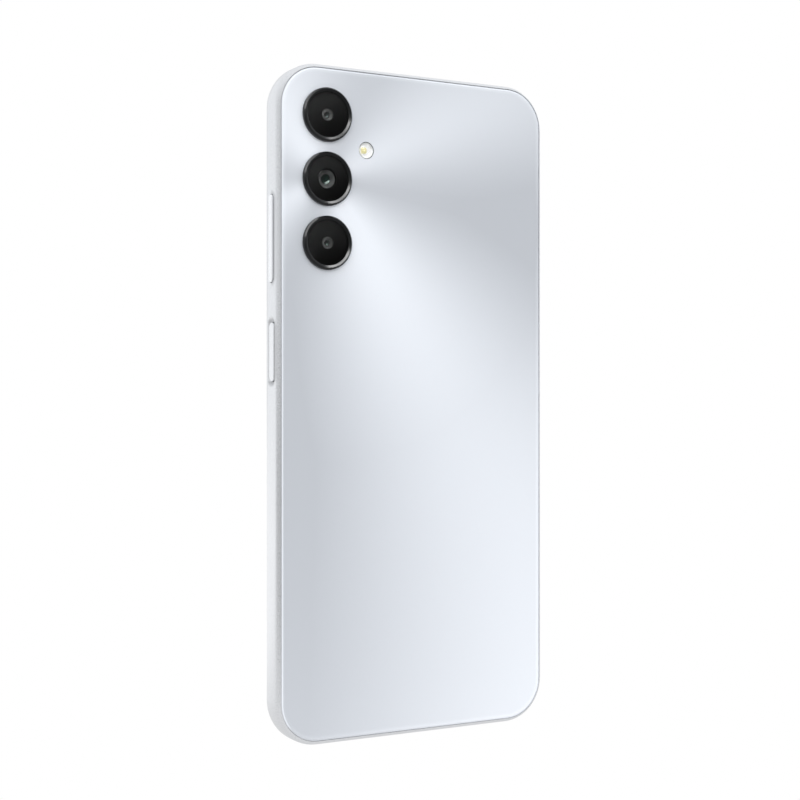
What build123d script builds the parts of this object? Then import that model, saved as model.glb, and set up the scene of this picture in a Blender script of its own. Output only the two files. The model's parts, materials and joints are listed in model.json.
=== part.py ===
from build123d import *
import math
import os

# A large-screen smartphone, built up from its separate pieces, in millimetres.
# It stands upright: +Z runs up its height, +Y points out of its rear cover, +X points to the side
# with the keys, and the origin is the middle of its bottom edge.

os.makedirs("parts", exist_ok=True)

# ---------------------------------------------------------------- overall sizes
body_width = 77.8
body_height = 168.0
body_thickness = 8.8
corner_radius = 11.0

# ---------------------------------------------------------------- layers, front to rear
glass_thickness = 0.7
display_thickness = 0.8
backlight_thickness = 0.75
flex_thickness = 0.1
display_gap = 0.15
plate_thickness = 0.5
cover_thickness = 0.9
tape_thickness = 0.15
glass_tape_thickness = 0.1

# ---------------------------------------------------------------- side frame, insets from its outside
cover_inset = 1.15
glass_inset = 1.5
edge_gap = 0.1
glass_ledge_width = 0.9
bay_wall = 2.8
front_curve_depth = 3.8
front_curve_inset = 1.3
rear_curve_depth = 1.8
rear_curve_inset = 0.95
rear_lip_drop = 0.08
cover_rim_width = 0.42
cover_rim_depth = 0.16
glass_edge_round = 0.3
display_edge_gap = 0.2
display_chin = 4.0

# ---------------------------------------------------------------- general clearances
fit_gap = 0.05
slide_gap = 0.15
part_gap = 0.4
seat_gap = 0.1

# ---------------------------------------------------------------- rear cameras and flash
lens_side_margin = 13.4
lens_top_margin = 12.6
ring_gap = 2.5
ring_radius = 6.65
ring_rise = 1.05
ring_outer_bevel = 0.35
ring_land = 0.12
ring_inner_bevel = 0.56
lens_glass_thickness = 0.6
lens_glass_drop = 0.25
lens_seat_width = 0.9
ring_flange_width = 0.5
ring_flange_thickness = 0.4
main_camera_width = 10.5
main_barrel_radius = 3.2
main_barrel_nose_radius = 2.5
main_barrel_nose_height = 0.9
main_aperture_radius = 1.6
focus_travel = 0.3
focus_floor = 1.2
small_camera_setback = 1.22
small_barrel_radius = 1.9
small_aperture_radius = 0.75
aperture_depth = 0.8
camera_top_gap = 0.2
flash_side_margin = 24.45
flash_top_margin = 20.5
flash_radius = 2.08
flash_flange_width = 0.5
flash_lens_depth = 1.6
flash_led_width = 3.2
flash_die_width = 1.6
flash_die_height = 0.5

# ---------------------------------------------------------------- side keys
volume_key_top_margin = 43.45
volume_key_length = 21.5
power_key_top_margin = 71.2
power_key_length = 14.4
key_width = 2.8
volume_key_proud = 0.35
power_key_proud = 0.05
key_end_gap = 0.15
key_flange_overhang = 0.8
key_flange_thickness = 0.8
key_flange_gap = 0.4
key_edge_round = 0.3
key_recess_length = 17.1
key_recess_width = 3.7
key_recess_depth = 0.5
key_recess_taper = 50
volume_switch_offset = 6.5
switch_length = 3.0
switch_width = 2.4
switch_height = 0.7
rocker_switch_gap = 0.2
rocker_nose_gap = 0.3
power_switch_gap = 0.32
nub_radius = 0.8
key_rib_inset = 5.5
key_rib_thickness = 0.8
key_rib_overhang = 2.0
sensor_length = 11.5
sensor_width = 1.6
sensor_skin = 0.6

# ---------------------------------------------------------------- card tray and its ejector
tray_top_margin = 30.0
tray_width = 17.0
tray_length = 33.5
tray_thickness = 1.0
tray_door_thickness = 1.5
tray_door_width = 2.6
tray_door_tail = 3.6
tray_door_lip = 0.6
tray_rib = 1.2
nano_card_length = 8.8
nano_card_width = 12.3
memory_card_length = 11.0
memory_card_width = 15.0
card_pocket_depth = 0.75
card_ledge = 1.0
card_gap = 0.15
tray_tip_round = 1.2
seal_height = 0.4
seal_width = 0.5
seal_length = 0.8
seal_gap = 0.1
reader_wall = 0.2
reader_side_gap = 0.3
pin_hole_radius = 0.45
rod_width = 0.8
rod_edge_gap = 0.6
rod_lever_gap = 0.2
lever_half_width = 0.6
lever_arm_rod = 3.5
lever_arm_slider = 6.8
lever_end_margin = 0.4
lever_thickness = 0.8
lever_swing_room = 2.2
lever_pin_radius = 0.3
lever_pin_gap = 0.04
slider_thickness = 1.2
slider_lever_gap = 0.2
slider_side_margin = 1.5

# ---------------------------------------------------------------- boards and what is on them
main_board_thickness = 0.8
main_board_length = 50.0
main_board_right_margin = 21.7
main_board_top_gap = 1.6
sub_board_thickness = 0.6
sub_board_bar_height = 8.5
sub_board_bar_bottom = 17.5
sub_board_stem_left = 13.8
sub_board_stem_right = 7.2
board_edge_gap = 1.1
bracket_thickness = 0.7
bracket_cover_gap = 0.4
boss_radius = 1.9
screw_radius = 0.6
screw_hole_gap = 0.12
screw_head_radius = 1.15
screw_head_height = 0.4
screw_drive_radius = 0.45
screw_drive_depth = 0.25
counterbore_gap = 0.2
thread_gap = 0.02
can_height = 1.5
can_wall = 0.15
can_bottom_margin = 5.0
can_height_lower = 8.6
chip_thickness = 0.9
chip_margin = 1.2
mic_length = 3.4
mic_width = 2.4
mic_height = 1.0
mic_hole_radius = 0.5
bottom_mic_x = -9.4
top_mic_side_margin = 14.9

# ---------------------------------------------------------------- front camera and earpiece
front_camera_top_margin = 7.0
front_camera_width = 6.2
front_camera_height = 3.6
front_barrel_radius = 2.1
front_barrel_gap = 0.3
front_aperture_radius = 0.7
earpiece_slot_length = 12.0
earpiece_slot_height = 0.7
earpiece_length = 12.5
earpiece_width = 6.2
earpiece_height = 2.4
earpiece_offset = 10.8
earpiece_wall = 0.4
earpiece_stroke = 0.15
earpiece_diaphragm_thickness = 0.2
earpiece_hole_radius = 1.0

# ---------------------------------------------------------------- bottom edge: ports and loudspeaker
usb_shell_width = 8.94
usb_shell_height = 3.26
usb_shell_wall = 0.35
usb_shell_length = 7.3
usb_mouth_recess = 0.3
usb_hole_gap = 0.1
usb_base_length = 1.5
usb_tongue_width = 6.69
usb_tongue_thickness = 0.7
usb_tongue_recess = 0.8
jack_x = -18.0
jack_radius = 1.8
jack_wall = 0.4
jack_side_wall = 1.2
jack_depth = 14.0
jack_end_wall = 1.0
speaker_left = 9.0
speaker_side_margin = 4.4
speaker_height = 13.0
speaker_wall = 0.7
speaker_top_gap = 0.1
speaker_mesh_thickness = 0.2
speaker_port_left = 13.2
speaker_port_length = 14.2
speaker_port_height = 1.8
speaker_slot_count = 6
speaker_slot_pitch = 2.4
speaker_slot_length = 1.7
speaker_slot_height = 1.1
driver_length = 17.0
driver_margin = 1.2
magnet_height = 1.9
diaphragm_thickness = 0.3
diaphragm_rest_gap = 0.45
motor_x = -29.0
motor_z = 10.0
motor_radius = 4.0
motor_height = 2.8
motor_wall = 0.25
motor_shaft_radius = 0.4
motor_hub_radius = 1.2
motor_gap = 0.3
motor_shaft_gap = 0.05

# ---------------------------------------------------------------- battery and cables
battery_bottom_gap = 3.0
battery_board_height = 2.3
battery_board_room = 3.2
battery_cable_channel = 5.6
battery_rib_gap = 0.6
battery_edge_round = 1.0
battery_tape_thickness = 0.1
battery_tape_width = 14.0
battery_board_left = 24.0
battery_board_right = 4.5
battery_flex_left = 20.0
battery_flex_right = 12.0
flex_foot = 3.4
main_flex_left = -3.0
main_flex_right = 9.0
display_flex_left = 13.0
display_flex_right = 26.0
display_flex_drop = 7.0
coax_radius = 0.4
coax_side_inset = 2.4
coax_plug_radius = 1.1
coax_plug_offset = 4.6

# ---------------------------------------------------------------- places worked out from the sizes
half_width = body_width / 2
front_y = -body_thickness / 2
rear_y = body_thickness / 2
glass_rear = front_y + glass_thickness
display_rear = glass_rear + display_thickness
backlight_rear = display_rear + backlight_thickness
plate_front = backlight_rear + display_gap
floor_y = plate_front + plate_thickness
cover_front = rear_y - cover_thickness
rear_ledge = cover_front - tape_thickness
front_ledge = glass_rear + glass_tape_thickness
display_wall = glass_inset - edge_gap + glass_ledge_width
bay_side = half_width - bay_wall
bay_top = body_height - bay_wall

sub_board_rear = floor_y + sub_board_thickness
port_line = sub_board_rear + usb_shell_height / 2
main_board_rear = port_line - tray_thickness / 2 - slide_gap - reader_wall
main_board_front = main_board_rear - main_board_thickness
bracket_rear = cover_front - bracket_cover_gap
bracket_front = bracket_rear - bracket_thickness

lens_x = half_width - lens_side_margin
lens_pitch = 2 * ring_radius + ring_gap
lens_z = [body_height - lens_top_margin - lens_pitch * step for step in range(3)]
lens_names = ["upper", "middle", "lower"]
flash_x = half_width - flash_side_margin
flash_z = body_height - flash_top_margin
ring_top = rear_y + ring_rise
lens_glass_rear = ring_top - lens_glass_drop
lens_glass_front = lens_glass_rear - lens_glass_thickness
ring_bore_radius = ring_radius - ring_outer_bevel - ring_land - ring_inner_bevel
lens_bore_radius = ring_bore_radius - lens_seat_width
small_camera_width = 2 * (lens_bore_radius - small_camera_setback)
ring_base = cover_front - ring_flange_thickness
camera_top = ring_base - camera_top_gap

volume_key_z = body_height - volume_key_top_margin
power_key_z = body_height - power_key_top_margin
key_rib_left = half_width - key_rib_inset - key_rib_thickness
key_rib_right = half_width - key_rib_inset
switch_seat = key_rib_right + flex_thickness
switch_face = switch_seat + switch_height
key_flange_outer = bay_side - key_flange_gap
key_flange_inner = key_flange_outer - key_flange_thickness
rocker_axis_x = key_flange_outer - key_flange_thickness / 2
rocker_nose_radius = rocker_axis_x - switch_seat - rocker_nose_gap
key_rib_bottom = power_key_z - power_key_length / 2 - key_rib_overhang
key_rib_top = volume_key_z + volume_key_length / 2 + key_rib_overhang

tray_z = body_height - tray_top_margin
tray_door_inner = -half_width + tray_door_thickness
tray_tip = tray_door_inner + tray_length
rod_z = tray_z + tray_width / 2 + seal_height + rod_edge_gap + rod_width / 2
door_low = tray_z - tray_width / 2 - tray_door_lip
door_high = rod_z + tray_door_tail / 2
slider_left = tray_tip + seat_gap
slider_right = slider_left + slider_thickness
lever_x = slider_right + slider_lever_gap + lever_half_width
lever_z = rod_z - lever_arm_rod
rod_tip = lever_x - lever_half_width - rod_lever_gap
reader_right = lever_x + lever_swing_room
reader_low = tray_z - tray_width / 2 - reader_side_gap - reader_wall
reader_high = rod_z + rod_width / 2 + reader_side_gap + reader_wall
reader_rear = port_line + tray_thickness / 2 + slide_gap + reader_wall

main_board_left = -bay_side + board_edge_gap
main_board_right = half_width - main_board_right_margin
main_board_top = bay_top - main_board_top_gap
main_board_bottom = main_board_top - main_board_length
sub_board_side = bay_side - board_edge_gap
sub_board_bottom = bay_wall + seat_gap
sub_board_top = sub_board_bar_bottom + sub_board_bar_height
lower_screw_z = sub_board_bar_bottom + sub_board_bar_height / 2
battery_bottom = sub_board_top + battery_bottom_gap
battery_top = main_board_bottom - battery_board_room
battery_left = -bay_side + battery_cable_channel
battery_right = key_rib_left - battery_rib_gap
battery_front = floor_y + battery_tape_thickness
battery_rear = bracket_rear

front_camera_z = body_height - front_camera_top_margin
earpiece_x = -earpiece_offset
top_mic_x = -half_width + top_mic_side_margin
earpiece_z = bay_top - seat_gap - earpiece_width / 2
notch_left = earpiece_x - earpiece_length / 2 - part_gap
notch_right = front_camera_width / 2 + part_gap
notch_bottom = front_camera_z - front_camera_width / 2 - part_gap

upper_screws = [
    (main_board_left + 2.8, main_board_bottom + 3.2),
    (main_board_right - 3.0, main_board_bottom + 3.2),
    (main_board_left + 2.8, main_board_top - 3.2),
    (main_board_right - 3.0, main_board_top - 3.2),
]
lower_screws = [
    (-sub_board_side + 4.5, lower_screw_z),
    (-11.0, lower_screw_z),
    (10.6, lower_screw_z),
    (sub_board_side - 4.5, lower_screw_z),
]


# ---------------------------------------------------------------- shapes used again and again
def block(low, high, mode=Mode.ADD):
    """A box between its lowest and highest corners."""
    size = [high[axis] - low[axis] for axis in range(3)]
    middle = [(high[axis] + low[axis]) / 2 for axis in range(3)]
    with Locations(tuple(middle)):
        Box(*size, mode=mode)


def disc(x, z, radius, y_low, y_high, mode=Mode.ADD):
    """A round slab whose axis runs front to rear."""
    with BuildSketch(Plane.XZ.offset(-y_low)) as outline:
        with Locations((x, z)):
            Circle(radius)
    extrude(outline.sketch, amount=y_low - y_high, mode=mode)


def plate(inset, y_low, y_high, mode=Mode.ADD, bottom_margin=0.0):
    """A slab with the phone's own outline, moved in from the frame's outermost side."""
    height = body_height - 2 * inset - bottom_margin
    middle = body_height / 2 + bottom_margin / 2
    with BuildSketch(Plane.XZ.offset(-y_low)) as outline:
        with Locations((0, middle)):
            RectangleRounded(body_width - 2 * inset, height, corner_radius - inset)
    extrude(outline.sketch, amount=y_low - y_high, mode=mode)


def trimmed_block(low, high, inset, mode=Mode.ADD):
    """A box whose corners follow the phone's outline, moved in from its outermost side."""
    with BuildSketch(Plane.XZ.offset(-low[1])) as outline:
        with Locations(((low[0] + high[0]) / 2, (low[2] + high[2]) / 2)):
            Rectangle(high[0] - low[0], high[2] - low[2])
        with Locations((0, body_height / 2)):
            RectangleRounded(
                body_width - 2 * inset, body_height - 2 * inset, corner_radius - inset,
                mode=Mode.INTERSECT,
            )
    extrude(outline.sketch, amount=low[1] - high[1], mode=mode)


def side_slot(x_low, x_high, z, length, width, mode=Mode.ADD):
    """A bar with round ends that runs up the phone's side and is extruded across it."""
    with BuildSketch(Plane.YZ.offset(x_low)) as outline:
        with Locations((port_line, z)):
            SlotOverall(length, width, rotation=90)
    extrude(outline.sketch, amount=x_high - x_low, mode=mode)


def end_slot(x, z_low, z_high, length, height, mode=Mode.ADD):
    """A bar with round ends that lies across the phone's width and is extruded up it."""
    with BuildSketch(Plane.XY.offset(z_low)) as outline:
        with Locations((x, port_line)):
            SlotOverall(length, height)
    extrude(outline.sketch, amount=z_high - z_low, mode=mode)


def upright_disc(x, radius, z_low, z_high, mode=Mode.ADD):
    """A round bar on the line of the ports, whose axis runs up the phone."""
    with BuildSketch(Plane.XY.offset(z_low)) as outline:
        with Locations((x, port_line)):
            Circle(radius)
    extrude(outline.sketch, amount=z_high - z_low, mode=mode)


def save(piece, name):
    """Labels a finished piece and writes its file."""
    piece.part.label = name
    export_step(piece.part, f"parts/{name}.step")


# ---------------------------------------------------------------- side frame
def frame_section(plane):
    """The frame's wall cut across: X runs in from its outermost side, Y from front to rear."""
    lip_front = glass_inset - edge_gap
    lip_rear = cover_inset - edge_gap
    side_front = front_y + front_curve_depth
    side_rear = rear_y - rear_curve_depth
    front_arc = (front_curve_inset**2 + front_curve_depth**2) / (2 * front_curve_inset)
    rear_rise = rear_curve_depth - rear_lip_drop
    rear_arc = (rear_curve_inset**2 + rear_rise**2) / (2 * rear_curve_inset)
    with BuildSketch(plane) as section:
        with BuildLine():
            Polyline(
                (front_curve_inset, front_y),
                (lip_front, front_y),
                (lip_front, front_ledge),
                (display_wall, front_ledge),
                (display_wall, floor_y),
                (bay_wall, floor_y),
                (bay_wall, rear_ledge),
                (lip_rear, rear_ledge),
                (lip_rear, rear_y - rear_lip_drop),
                (rear_curve_inset, rear_y - rear_lip_drop),
            )
            RadiusArc((rear_curve_inset, rear_y - rear_lip_drop), (0, side_rear), -rear_arc)
            Line((0, side_rear), (0, side_front))
            RadiusArc((0, side_front), (front_curve_inset, front_y), -front_arc)
        make_face()
    return section.sketch


straight_top = body_height - corner_radius
right_side = Plane(origin=(half_width, 0, straight_top), x_dir=(-1, 0, 0), z_dir=(0, 0, -1))
wall_section = frame_section(right_side)
with BuildSketch(Plane.XZ) as frame_outline:
    with Locations((0, body_height / 2)):
        RectangleRounded(body_width, body_height, corner_radius)
frame_path = frame_outline.sketch.faces()[0].outer_wire()

with BuildPart() as side_frame:
    sweep(wall_section, path=frame_path)
    # the volume key's slot, and the power key's slot in its shallow dish
    side_slot(
        bay_side - 1, half_width + 1, volume_key_z,
        volume_key_length + 2 * key_end_gap, key_width + 2 * key_end_gap, Mode.SUBTRACT,
    )
    side_slot(
        bay_side - 1, half_width + 1, power_key_z,
        power_key_length + 2 * key_end_gap, key_width + 2 * key_end_gap, Mode.SUBTRACT,
    )
    with BuildSketch(Plane.YZ.offset(half_width)) as dish:
        with Locations((port_line, power_key_z)):
            SlotOverall(key_recess_length, key_recess_width, rotation=90)
    extrude(dish.sketch, amount=-key_recess_depth, taper=key_recess_taper, mode=Mode.SUBTRACT)
    # the tray's slot, the seat of its door, and the way in for the ejector rod
    block(
        (-half_width - 1, port_line - tray_thickness / 2 - seal_width - seal_gap,
         tray_z - tray_width / 2 - seal_height - seal_gap),
        (-bay_side + 1, port_line + tray_thickness / 2 + seal_width + seal_gap,
         tray_z + tray_width / 2 + seal_height + seal_gap),
        Mode.SUBTRACT,
    )
    side_slot(
        -half_width - 1, tray_door_inner + seat_gap, (door_low + door_high) / 2,
        door_high - door_low + 2 * slide_gap, tray_door_width + 2 * slide_gap, Mode.SUBTRACT,
    )
    block(
        (-half_width - 1, port_line - rod_width / 2 - slide_gap, rod_z - rod_width / 2 - slide_gap),
        (-bay_side + 1, port_line + rod_width / 2 + slide_gap, rod_z + rod_width / 2 + slide_gap),
        Mode.SUBTRACT,
    )
    # the bottom edge: charging port, headphone socket, microphone and loudspeaker slots
    end_slot(
        0, -1, bay_wall + 1,
        usb_shell_width + 2 * usb_hole_gap, usb_shell_height + 2 * usb_hole_gap, Mode.SUBTRACT,
    )
    upright_disc(bottom_mic_x, mic_hole_radius, -1, bay_wall + 1, Mode.SUBTRACT)
    upright_disc(jack_x, jack_radius, -1, bay_wall + 1, Mode.SUBTRACT)
    for step in range(speaker_slot_count):
        slot_x = speaker_port_left + speaker_port_length / 2
        slot_x += (step - (speaker_slot_count - 1) / 2) * speaker_slot_pitch
        end_slot(slot_x, -1, bay_wall + 1, speaker_slot_length, speaker_slot_height, Mode.SUBTRACT)
    # the second microphone's hole in the top edge
    upright_disc(top_mic_x, mic_hole_radius, bay_top - 1, body_height + 1, Mode.SUBTRACT)
save(side_frame, "side_frame")


# ---------------------------------------------------------------- rear cover and its tape
with BuildPart() as rear_cover:
    plate(cover_inset, cover_front, rear_y)
    rim = rear_cover.faces().sort_by(Axis.Y)[-1].edges()
    chamfer(rim, length=cover_rim_depth, length2=cover_rim_width)
    for z in lens_z:
        disc(lens_x, z, ring_radius + fit_gap, cover_front - 1, rear_y + 1, Mode.SUBTRACT)
    disc(flash_x, flash_z, flash_radius + fit_gap, cover_front - 1, rear_y + 1, Mode.SUBTRACT)
save(rear_cover, "rear_cover")

with BuildPart() as rear_cover_tape:
    plate(cover_inset + seat_gap, rear_ledge, cover_front)
    plate(bay_wall - seat_gap, rear_ledge - 1, cover_front + 1, Mode.SUBTRACT)
save(rear_cover_tape, "rear_cover_tape")


# ---------------------------------------------------------------- front glass, display and backlight
glass_top = body_height - glass_inset
slot_bottom = glass_top - earpiece_slot_height

with BuildPart() as front_glass:
    plate(glass_inset, front_y, glass_rear)
    fillet(front_glass.faces().sort_by(Axis.Y)[0].edges(), glass_edge_round)
    block(
        (-earpiece_slot_length / 2, front_y - 1, slot_bottom),
        (earpiece_slot_length / 2, glass_rear + 1, glass_top + 1),
        Mode.SUBTRACT,
    )
save(front_glass, "front_glass")

with BuildPart() as display_tape:
    plate(glass_inset + seat_gap, glass_rear, front_ledge)
    plate(display_wall - seat_gap, glass_rear - 1, front_ledge + 1, Mode.SUBTRACT)
    block(
        (-earpiece_slot_length / 2, glass_rear - 1, slot_bottom),
        (earpiece_slot_length / 2, front_ledge + 1, glass_top + 1),
        Mode.SUBTRACT,
    )
save(display_tape, "display_tape")

display_inset = display_wall + display_edge_gap
barrel_hole_radius = front_barrel_radius + front_barrel_gap

with BuildPart() as display_panel:
    plate(display_inset, glass_rear, display_rear, bottom_margin=display_chin)
    disc(0, front_camera_z, barrel_hole_radius, glass_rear - 1, display_rear + 1, Mode.SUBTRACT)
save(display_panel, "display_panel")

with BuildPart() as backlight:
    plate(display_inset, display_rear, backlight_rear, bottom_margin=display_chin)
    disc(0, front_camera_z, barrel_hole_radius, display_rear - 1, backlight_rear + 1, Mode.SUBTRACT)
save(backlight, "backlight")

flex_riser_z = sub_board_top + (battery_bottom_gap - slide_gap) / 2
with BuildPart() as display_flex:
    block(
        (display_flex_left, backlight_rear, flex_riser_z - display_flex_drop),
        (display_flex_right, backlight_rear + flex_thickness, flex_riser_z),
    )
    block(
        (display_flex_left, backlight_rear, flex_riser_z - flex_thickness),
        (display_flex_right, sub_board_rear + flex_thickness, flex_riser_z),
    )
    block(
        (display_flex_left, sub_board_rear, sub_board_top - flex_foot),
        (display_flex_right, sub_board_rear + flex_thickness, flex_riser_z),
    )
save(display_flex, "display_flex")


# ---------------------------------------------------------------- chassis plate
with BuildPart() as chassis_plate:
    plate(display_wall + fit_gap, plate_front, floor_y)
    for x, z in upper_screws:
        disc(x, z, boss_radius, floor_y, main_board_front)
    block(
        (key_rib_left, floor_y, key_rib_bottom),
        (key_rib_right, port_line + key_width / 2, key_rib_top),
    )
    for x, z in upper_screws:
        disc(x, z, screw_radius + thread_gap, plate_front - 1, main_board_front + 1, Mode.SUBTRACT)
    for x, z in lower_screws:
        disc(x, z, screw_radius + thread_gap, plate_front - 1, floor_y + 1, Mode.SUBTRACT)
    disc(0, front_camera_z, barrel_hole_radius, plate_front - 1, floor_y + 1, Mode.SUBTRACT)
    disc(earpiece_x, earpiece_z, earpiece_hole_radius, plate_front - 1, floor_y + 1, Mode.SUBTRACT)
    block(
        (display_flex_left - slide_gap, plate_front - 1, flex_riser_z - flex_thickness - slide_gap),
        (display_flex_right + slide_gap, floor_y + 1, flex_riser_z + slide_gap),
        Mode.SUBTRACT,
    )
save(chassis_plate, "chassis_plate")


# ---------------------------------------------------------------- rear cameras
with BuildSketch(Plane.XY) as ring_section:
    with BuildLine():
        Polyline(
            (lens_bore_radius, ring_base),
            (ring_radius + ring_flange_width, ring_base),
            (ring_radius + ring_flange_width, cover_front),
            (ring_radius, cover_front),
            (ring_radius, ring_top - ring_outer_bevel),
            (ring_radius - ring_outer_bevel, ring_top),
            (ring_bore_radius + ring_inner_bevel, ring_top),
            (ring_bore_radius, lens_glass_rear),
            (ring_bore_radius, lens_glass_front),
            (lens_bore_radius, lens_glass_front),
            close=True,
        )
    make_face()

for ring_name, z in zip(lens_names, lens_z):
    with BuildPart() as lens_ring:
        with Locations((lens_x, 0, z)):
            add(revolve(ring_section.sketch, axis=Axis.Y, mode=Mode.PRIVATE))
    save(lens_ring, f"lens_ring_{ring_name}")

with BuildPart() as lens_glasses:
    for z in lens_z:
        disc(lens_x, z, ring_bore_radius - fit_gap, lens_glass_front, lens_glass_rear)
save(lens_glasses, "lens_glasses")

main_z = lens_z[1]
main_bore_radius = main_barrel_radius + slide_gap
nose_top = lens_glass_front - focus_travel - camera_top_gap
nose_base = nose_top - main_barrel_nose_height
with BuildPart() as main_camera_housing:
    half = main_camera_width / 2
    block((lens_x - half, floor_y, main_z - half), (lens_x + half, camera_top, main_z + half))
    fillet(main_camera_housing.edges().filter_by(Axis.Y), radius=cover_rim_width)
    disc(lens_x, main_z, main_bore_radius, floor_y + focus_floor / 2, camera_top + 1, Mode.SUBTRACT)
save(main_camera_housing, "main_camera_housing")

with BuildPart() as main_camera_lens:
    disc(lens_x, main_z, main_barrel_radius, floor_y + focus_floor, nose_base)
    disc(lens_x, main_z, main_barrel_nose_radius, nose_base, nose_top)
    disc(lens_x, main_z, main_aperture_radius, nose_top - aperture_depth, nose_top + 1, Mode.SUBTRACT)
save(main_camera_lens, "main_camera_lens")

small_nose_top = lens_glass_front - camera_top_gap
for camera_name, z in (("depth", lens_z[0]), ("macro", lens_z[2])):
    half = small_camera_width / 2
    with BuildPart() as small_camera:
        block((lens_x - half, floor_y, z - half), (lens_x + half, camera_top, z + half))
        fillet(small_camera.edges().filter_by(Axis.Y), radius=cover_rim_width)
        disc(
            lens_x, z, small_barrel_radius + fit_gap,
            camera_top - small_barrel_radius, camera_top + 1, Mode.SUBTRACT,
        )
    save(small_camera, f"{camera_name}_camera_housing")

with BuildPart() as small_camera_lenses:
    for z in (lens_z[0], lens_z[2]):
        disc(lens_x, z, small_barrel_radius, camera_top - small_barrel_radius, small_nose_top)
        disc(
            lens_x, z, small_aperture_radius,
            small_nose_top - aperture_depth, small_nose_top + 1, Mode.SUBTRACT,
        )
save(small_camera_lenses, "small_camera_lenses")

flash_front = rear_y - flash_lens_depth
with BuildPart() as flash_lens:
    disc(flash_x, flash_z, flash_radius, flash_front, rear_y)
    disc(flash_x, flash_z, flash_radius + flash_flange_width, flash_front, cover_front)
save(flash_lens, "flash_lens")

can_rear = main_board_rear + can_height
led_top = flash_front - camera_top_gap
with BuildPart() as flash_led:
    half = flash_led_width / 2
    block(
        (flash_x - half, can_rear, flash_z - half),
        (flash_x + half, led_top - flash_die_height, flash_z + half),
    )
    half = flash_die_width / 2
    block(
        (flash_x - half, led_top - flash_die_height, flash_z - half),
        (flash_x + half, led_top, flash_z + half),
    )
save(flash_led, "flash_led")


# ---------------------------------------------------------------- side keys
def key_flange(z, length):
    """The flange inside the frame that keeps a key in."""
    side_slot(key_flange_inner, key_flange_outer, z, length + 2 * key_flange_overhang, key_width)


def key_nub(z, radius, tip):
    """The round nub on a key's inner face that meets its switch."""
    with BuildSketch(Plane.YZ.offset(tip)) as outline:
        with Locations((port_line, z)):
            Circle(radius)
    extrude(outline.sketch, amount=key_flange_inner - tip)


with BuildPart() as volume_key:
    side_slot(
        key_flange_outer, half_width + volume_key_proud, volume_key_z, volume_key_length, key_width,
    )
    fillet(volume_key.faces().sort_by(Axis.X)[-1].edges(), radius=key_edge_round)
    key_flange(volume_key_z, volume_key_length)
    for offset in (-volume_switch_offset, volume_switch_offset):
        key_nub(volume_key_z + offset, nub_radius, switch_face + rocker_switch_gap)
    # the round nose between the two switches, on which the key rocks
    disc(
        rocker_axis_x, volume_key_z, rocker_nose_radius,
        port_line - key_width / 2, port_line + key_width / 2,
    )
save(volume_key, "volume_key")

with BuildPart() as power_key:
    side_slot(key_flange_outer, half_width + power_key_proud, power_key_z, power_key_length, key_width)
    fillet(power_key.faces().sort_by(Axis.X)[-1].edges(), radius=key_edge_round)
    key_flange(power_key_z, power_key_length)
    block(
        (key_flange_inner - 1, port_line - sensor_width / 2, power_key_z - sensor_length / 2),
        (half_width - sensor_skin, port_line + sensor_width / 2, power_key_z + sensor_length / 2),
        Mode.SUBTRACT,
    )
save(power_key, "power_key")

with BuildPart() as fingerprint_sensor:
    block(
        (key_flange_inner, port_line - sensor_width / 2 + fit_gap,
         power_key_z - sensor_length / 2 + fit_gap),
        (half_width - sensor_skin, port_line + sensor_width / 2 - fit_gap,
         power_key_z + sensor_length / 2 - fit_gap),
    )
    key_nub(power_key_z, sensor_width / 2 - fit_gap, switch_face + power_switch_gap)
save(fingerprint_sensor, "fingerprint_sensor")

with BuildPart() as side_key_flex:
    block(
        (key_rib_right, port_line - key_width / 2, key_rib_bottom + seat_gap),
        (switch_seat, port_line + key_width / 2, key_rib_top - seat_gap),
    )
save(side_key_flex, "side_key_flex")

switch_places = [volume_key_z - volume_switch_offset, volume_key_z + volume_switch_offset, power_key_z]
with BuildPart() as side_switches:
    for z in switch_places:
        block(
            (switch_seat, port_line - switch_width / 2, z - switch_length / 2),
            (switch_face, port_line + switch_width / 2, z + switch_length / 2),
        )
save(side_switches, "side_switches")


# ---------------------------------------------------------------- card tray and its ejector
tray_low = tray_z - tray_width / 2
tray_front = port_line - tray_thickness / 2
tray_rear = port_line + tray_thickness / 2
card_rows = [
    (nano_card_length, nano_card_width),
    (nano_card_length, nano_card_width),
    (memory_card_length, memory_card_width),
]

with BuildPart() as sim_tray:
    block((tray_door_inner, tray_front, tray_low), (tray_tip, tray_rear, tray_low + tray_width))
    tip_edges = sim_tray.edges().filter_by(Axis.Y).group_by(Axis.X)[-1]
    fillet(tip_edges, radius=tray_tip_round)
    side_slot(
        -half_width, tray_door_inner, (door_low + door_high) / 2, door_high - door_low, tray_door_width,
    )
    pocket_left = tray_door_inner + tray_rib
    for length, width in card_rows:
        pocket_right = pocket_left + length + 2 * card_gap
        half = width / 2 + card_gap
        block(
            (pocket_left, tray_rear - card_pocket_depth, tray_z - half),
            (pocket_right, tray_rear + 1, tray_z + half),
            Mode.SUBTRACT,
        )
        block(
            (pocket_left + card_ledge, tray_front - 1, tray_z - half + card_ledge),
            (pocket_right - card_ledge, tray_rear, tray_z + half - card_ledge),
            Mode.SUBTRACT,
        )
        pocket_left = pocket_right + tray_rib
    with BuildSketch(Plane.YZ.offset(-half_width - 1)) as pin_hole:
        with Locations((port_line, rod_z)):
            Circle(pin_hole_radius)
    extrude(pin_hole.sketch, amount=tray_door_thickness + 2, mode=Mode.SUBTRACT)
save(sim_tray, "sim_tray")

with BuildPart() as sim_tray_seal:
    block(
        (tray_door_inner + seat_gap, tray_front - seal_width, tray_low - seal_height),
        (tray_door_inner + seat_gap + seal_length, tray_rear + seal_width,
         tray_low + tray_width + seal_height),
    )
    block(
        (tray_door_inner - 1, tray_front, tray_low),
        (tray_door_inner + seal_length + 1, tray_rear, tray_low + tray_width),
        Mode.SUBTRACT,
    )
save(sim_tray_seal, "sim_tray_seal")

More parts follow.
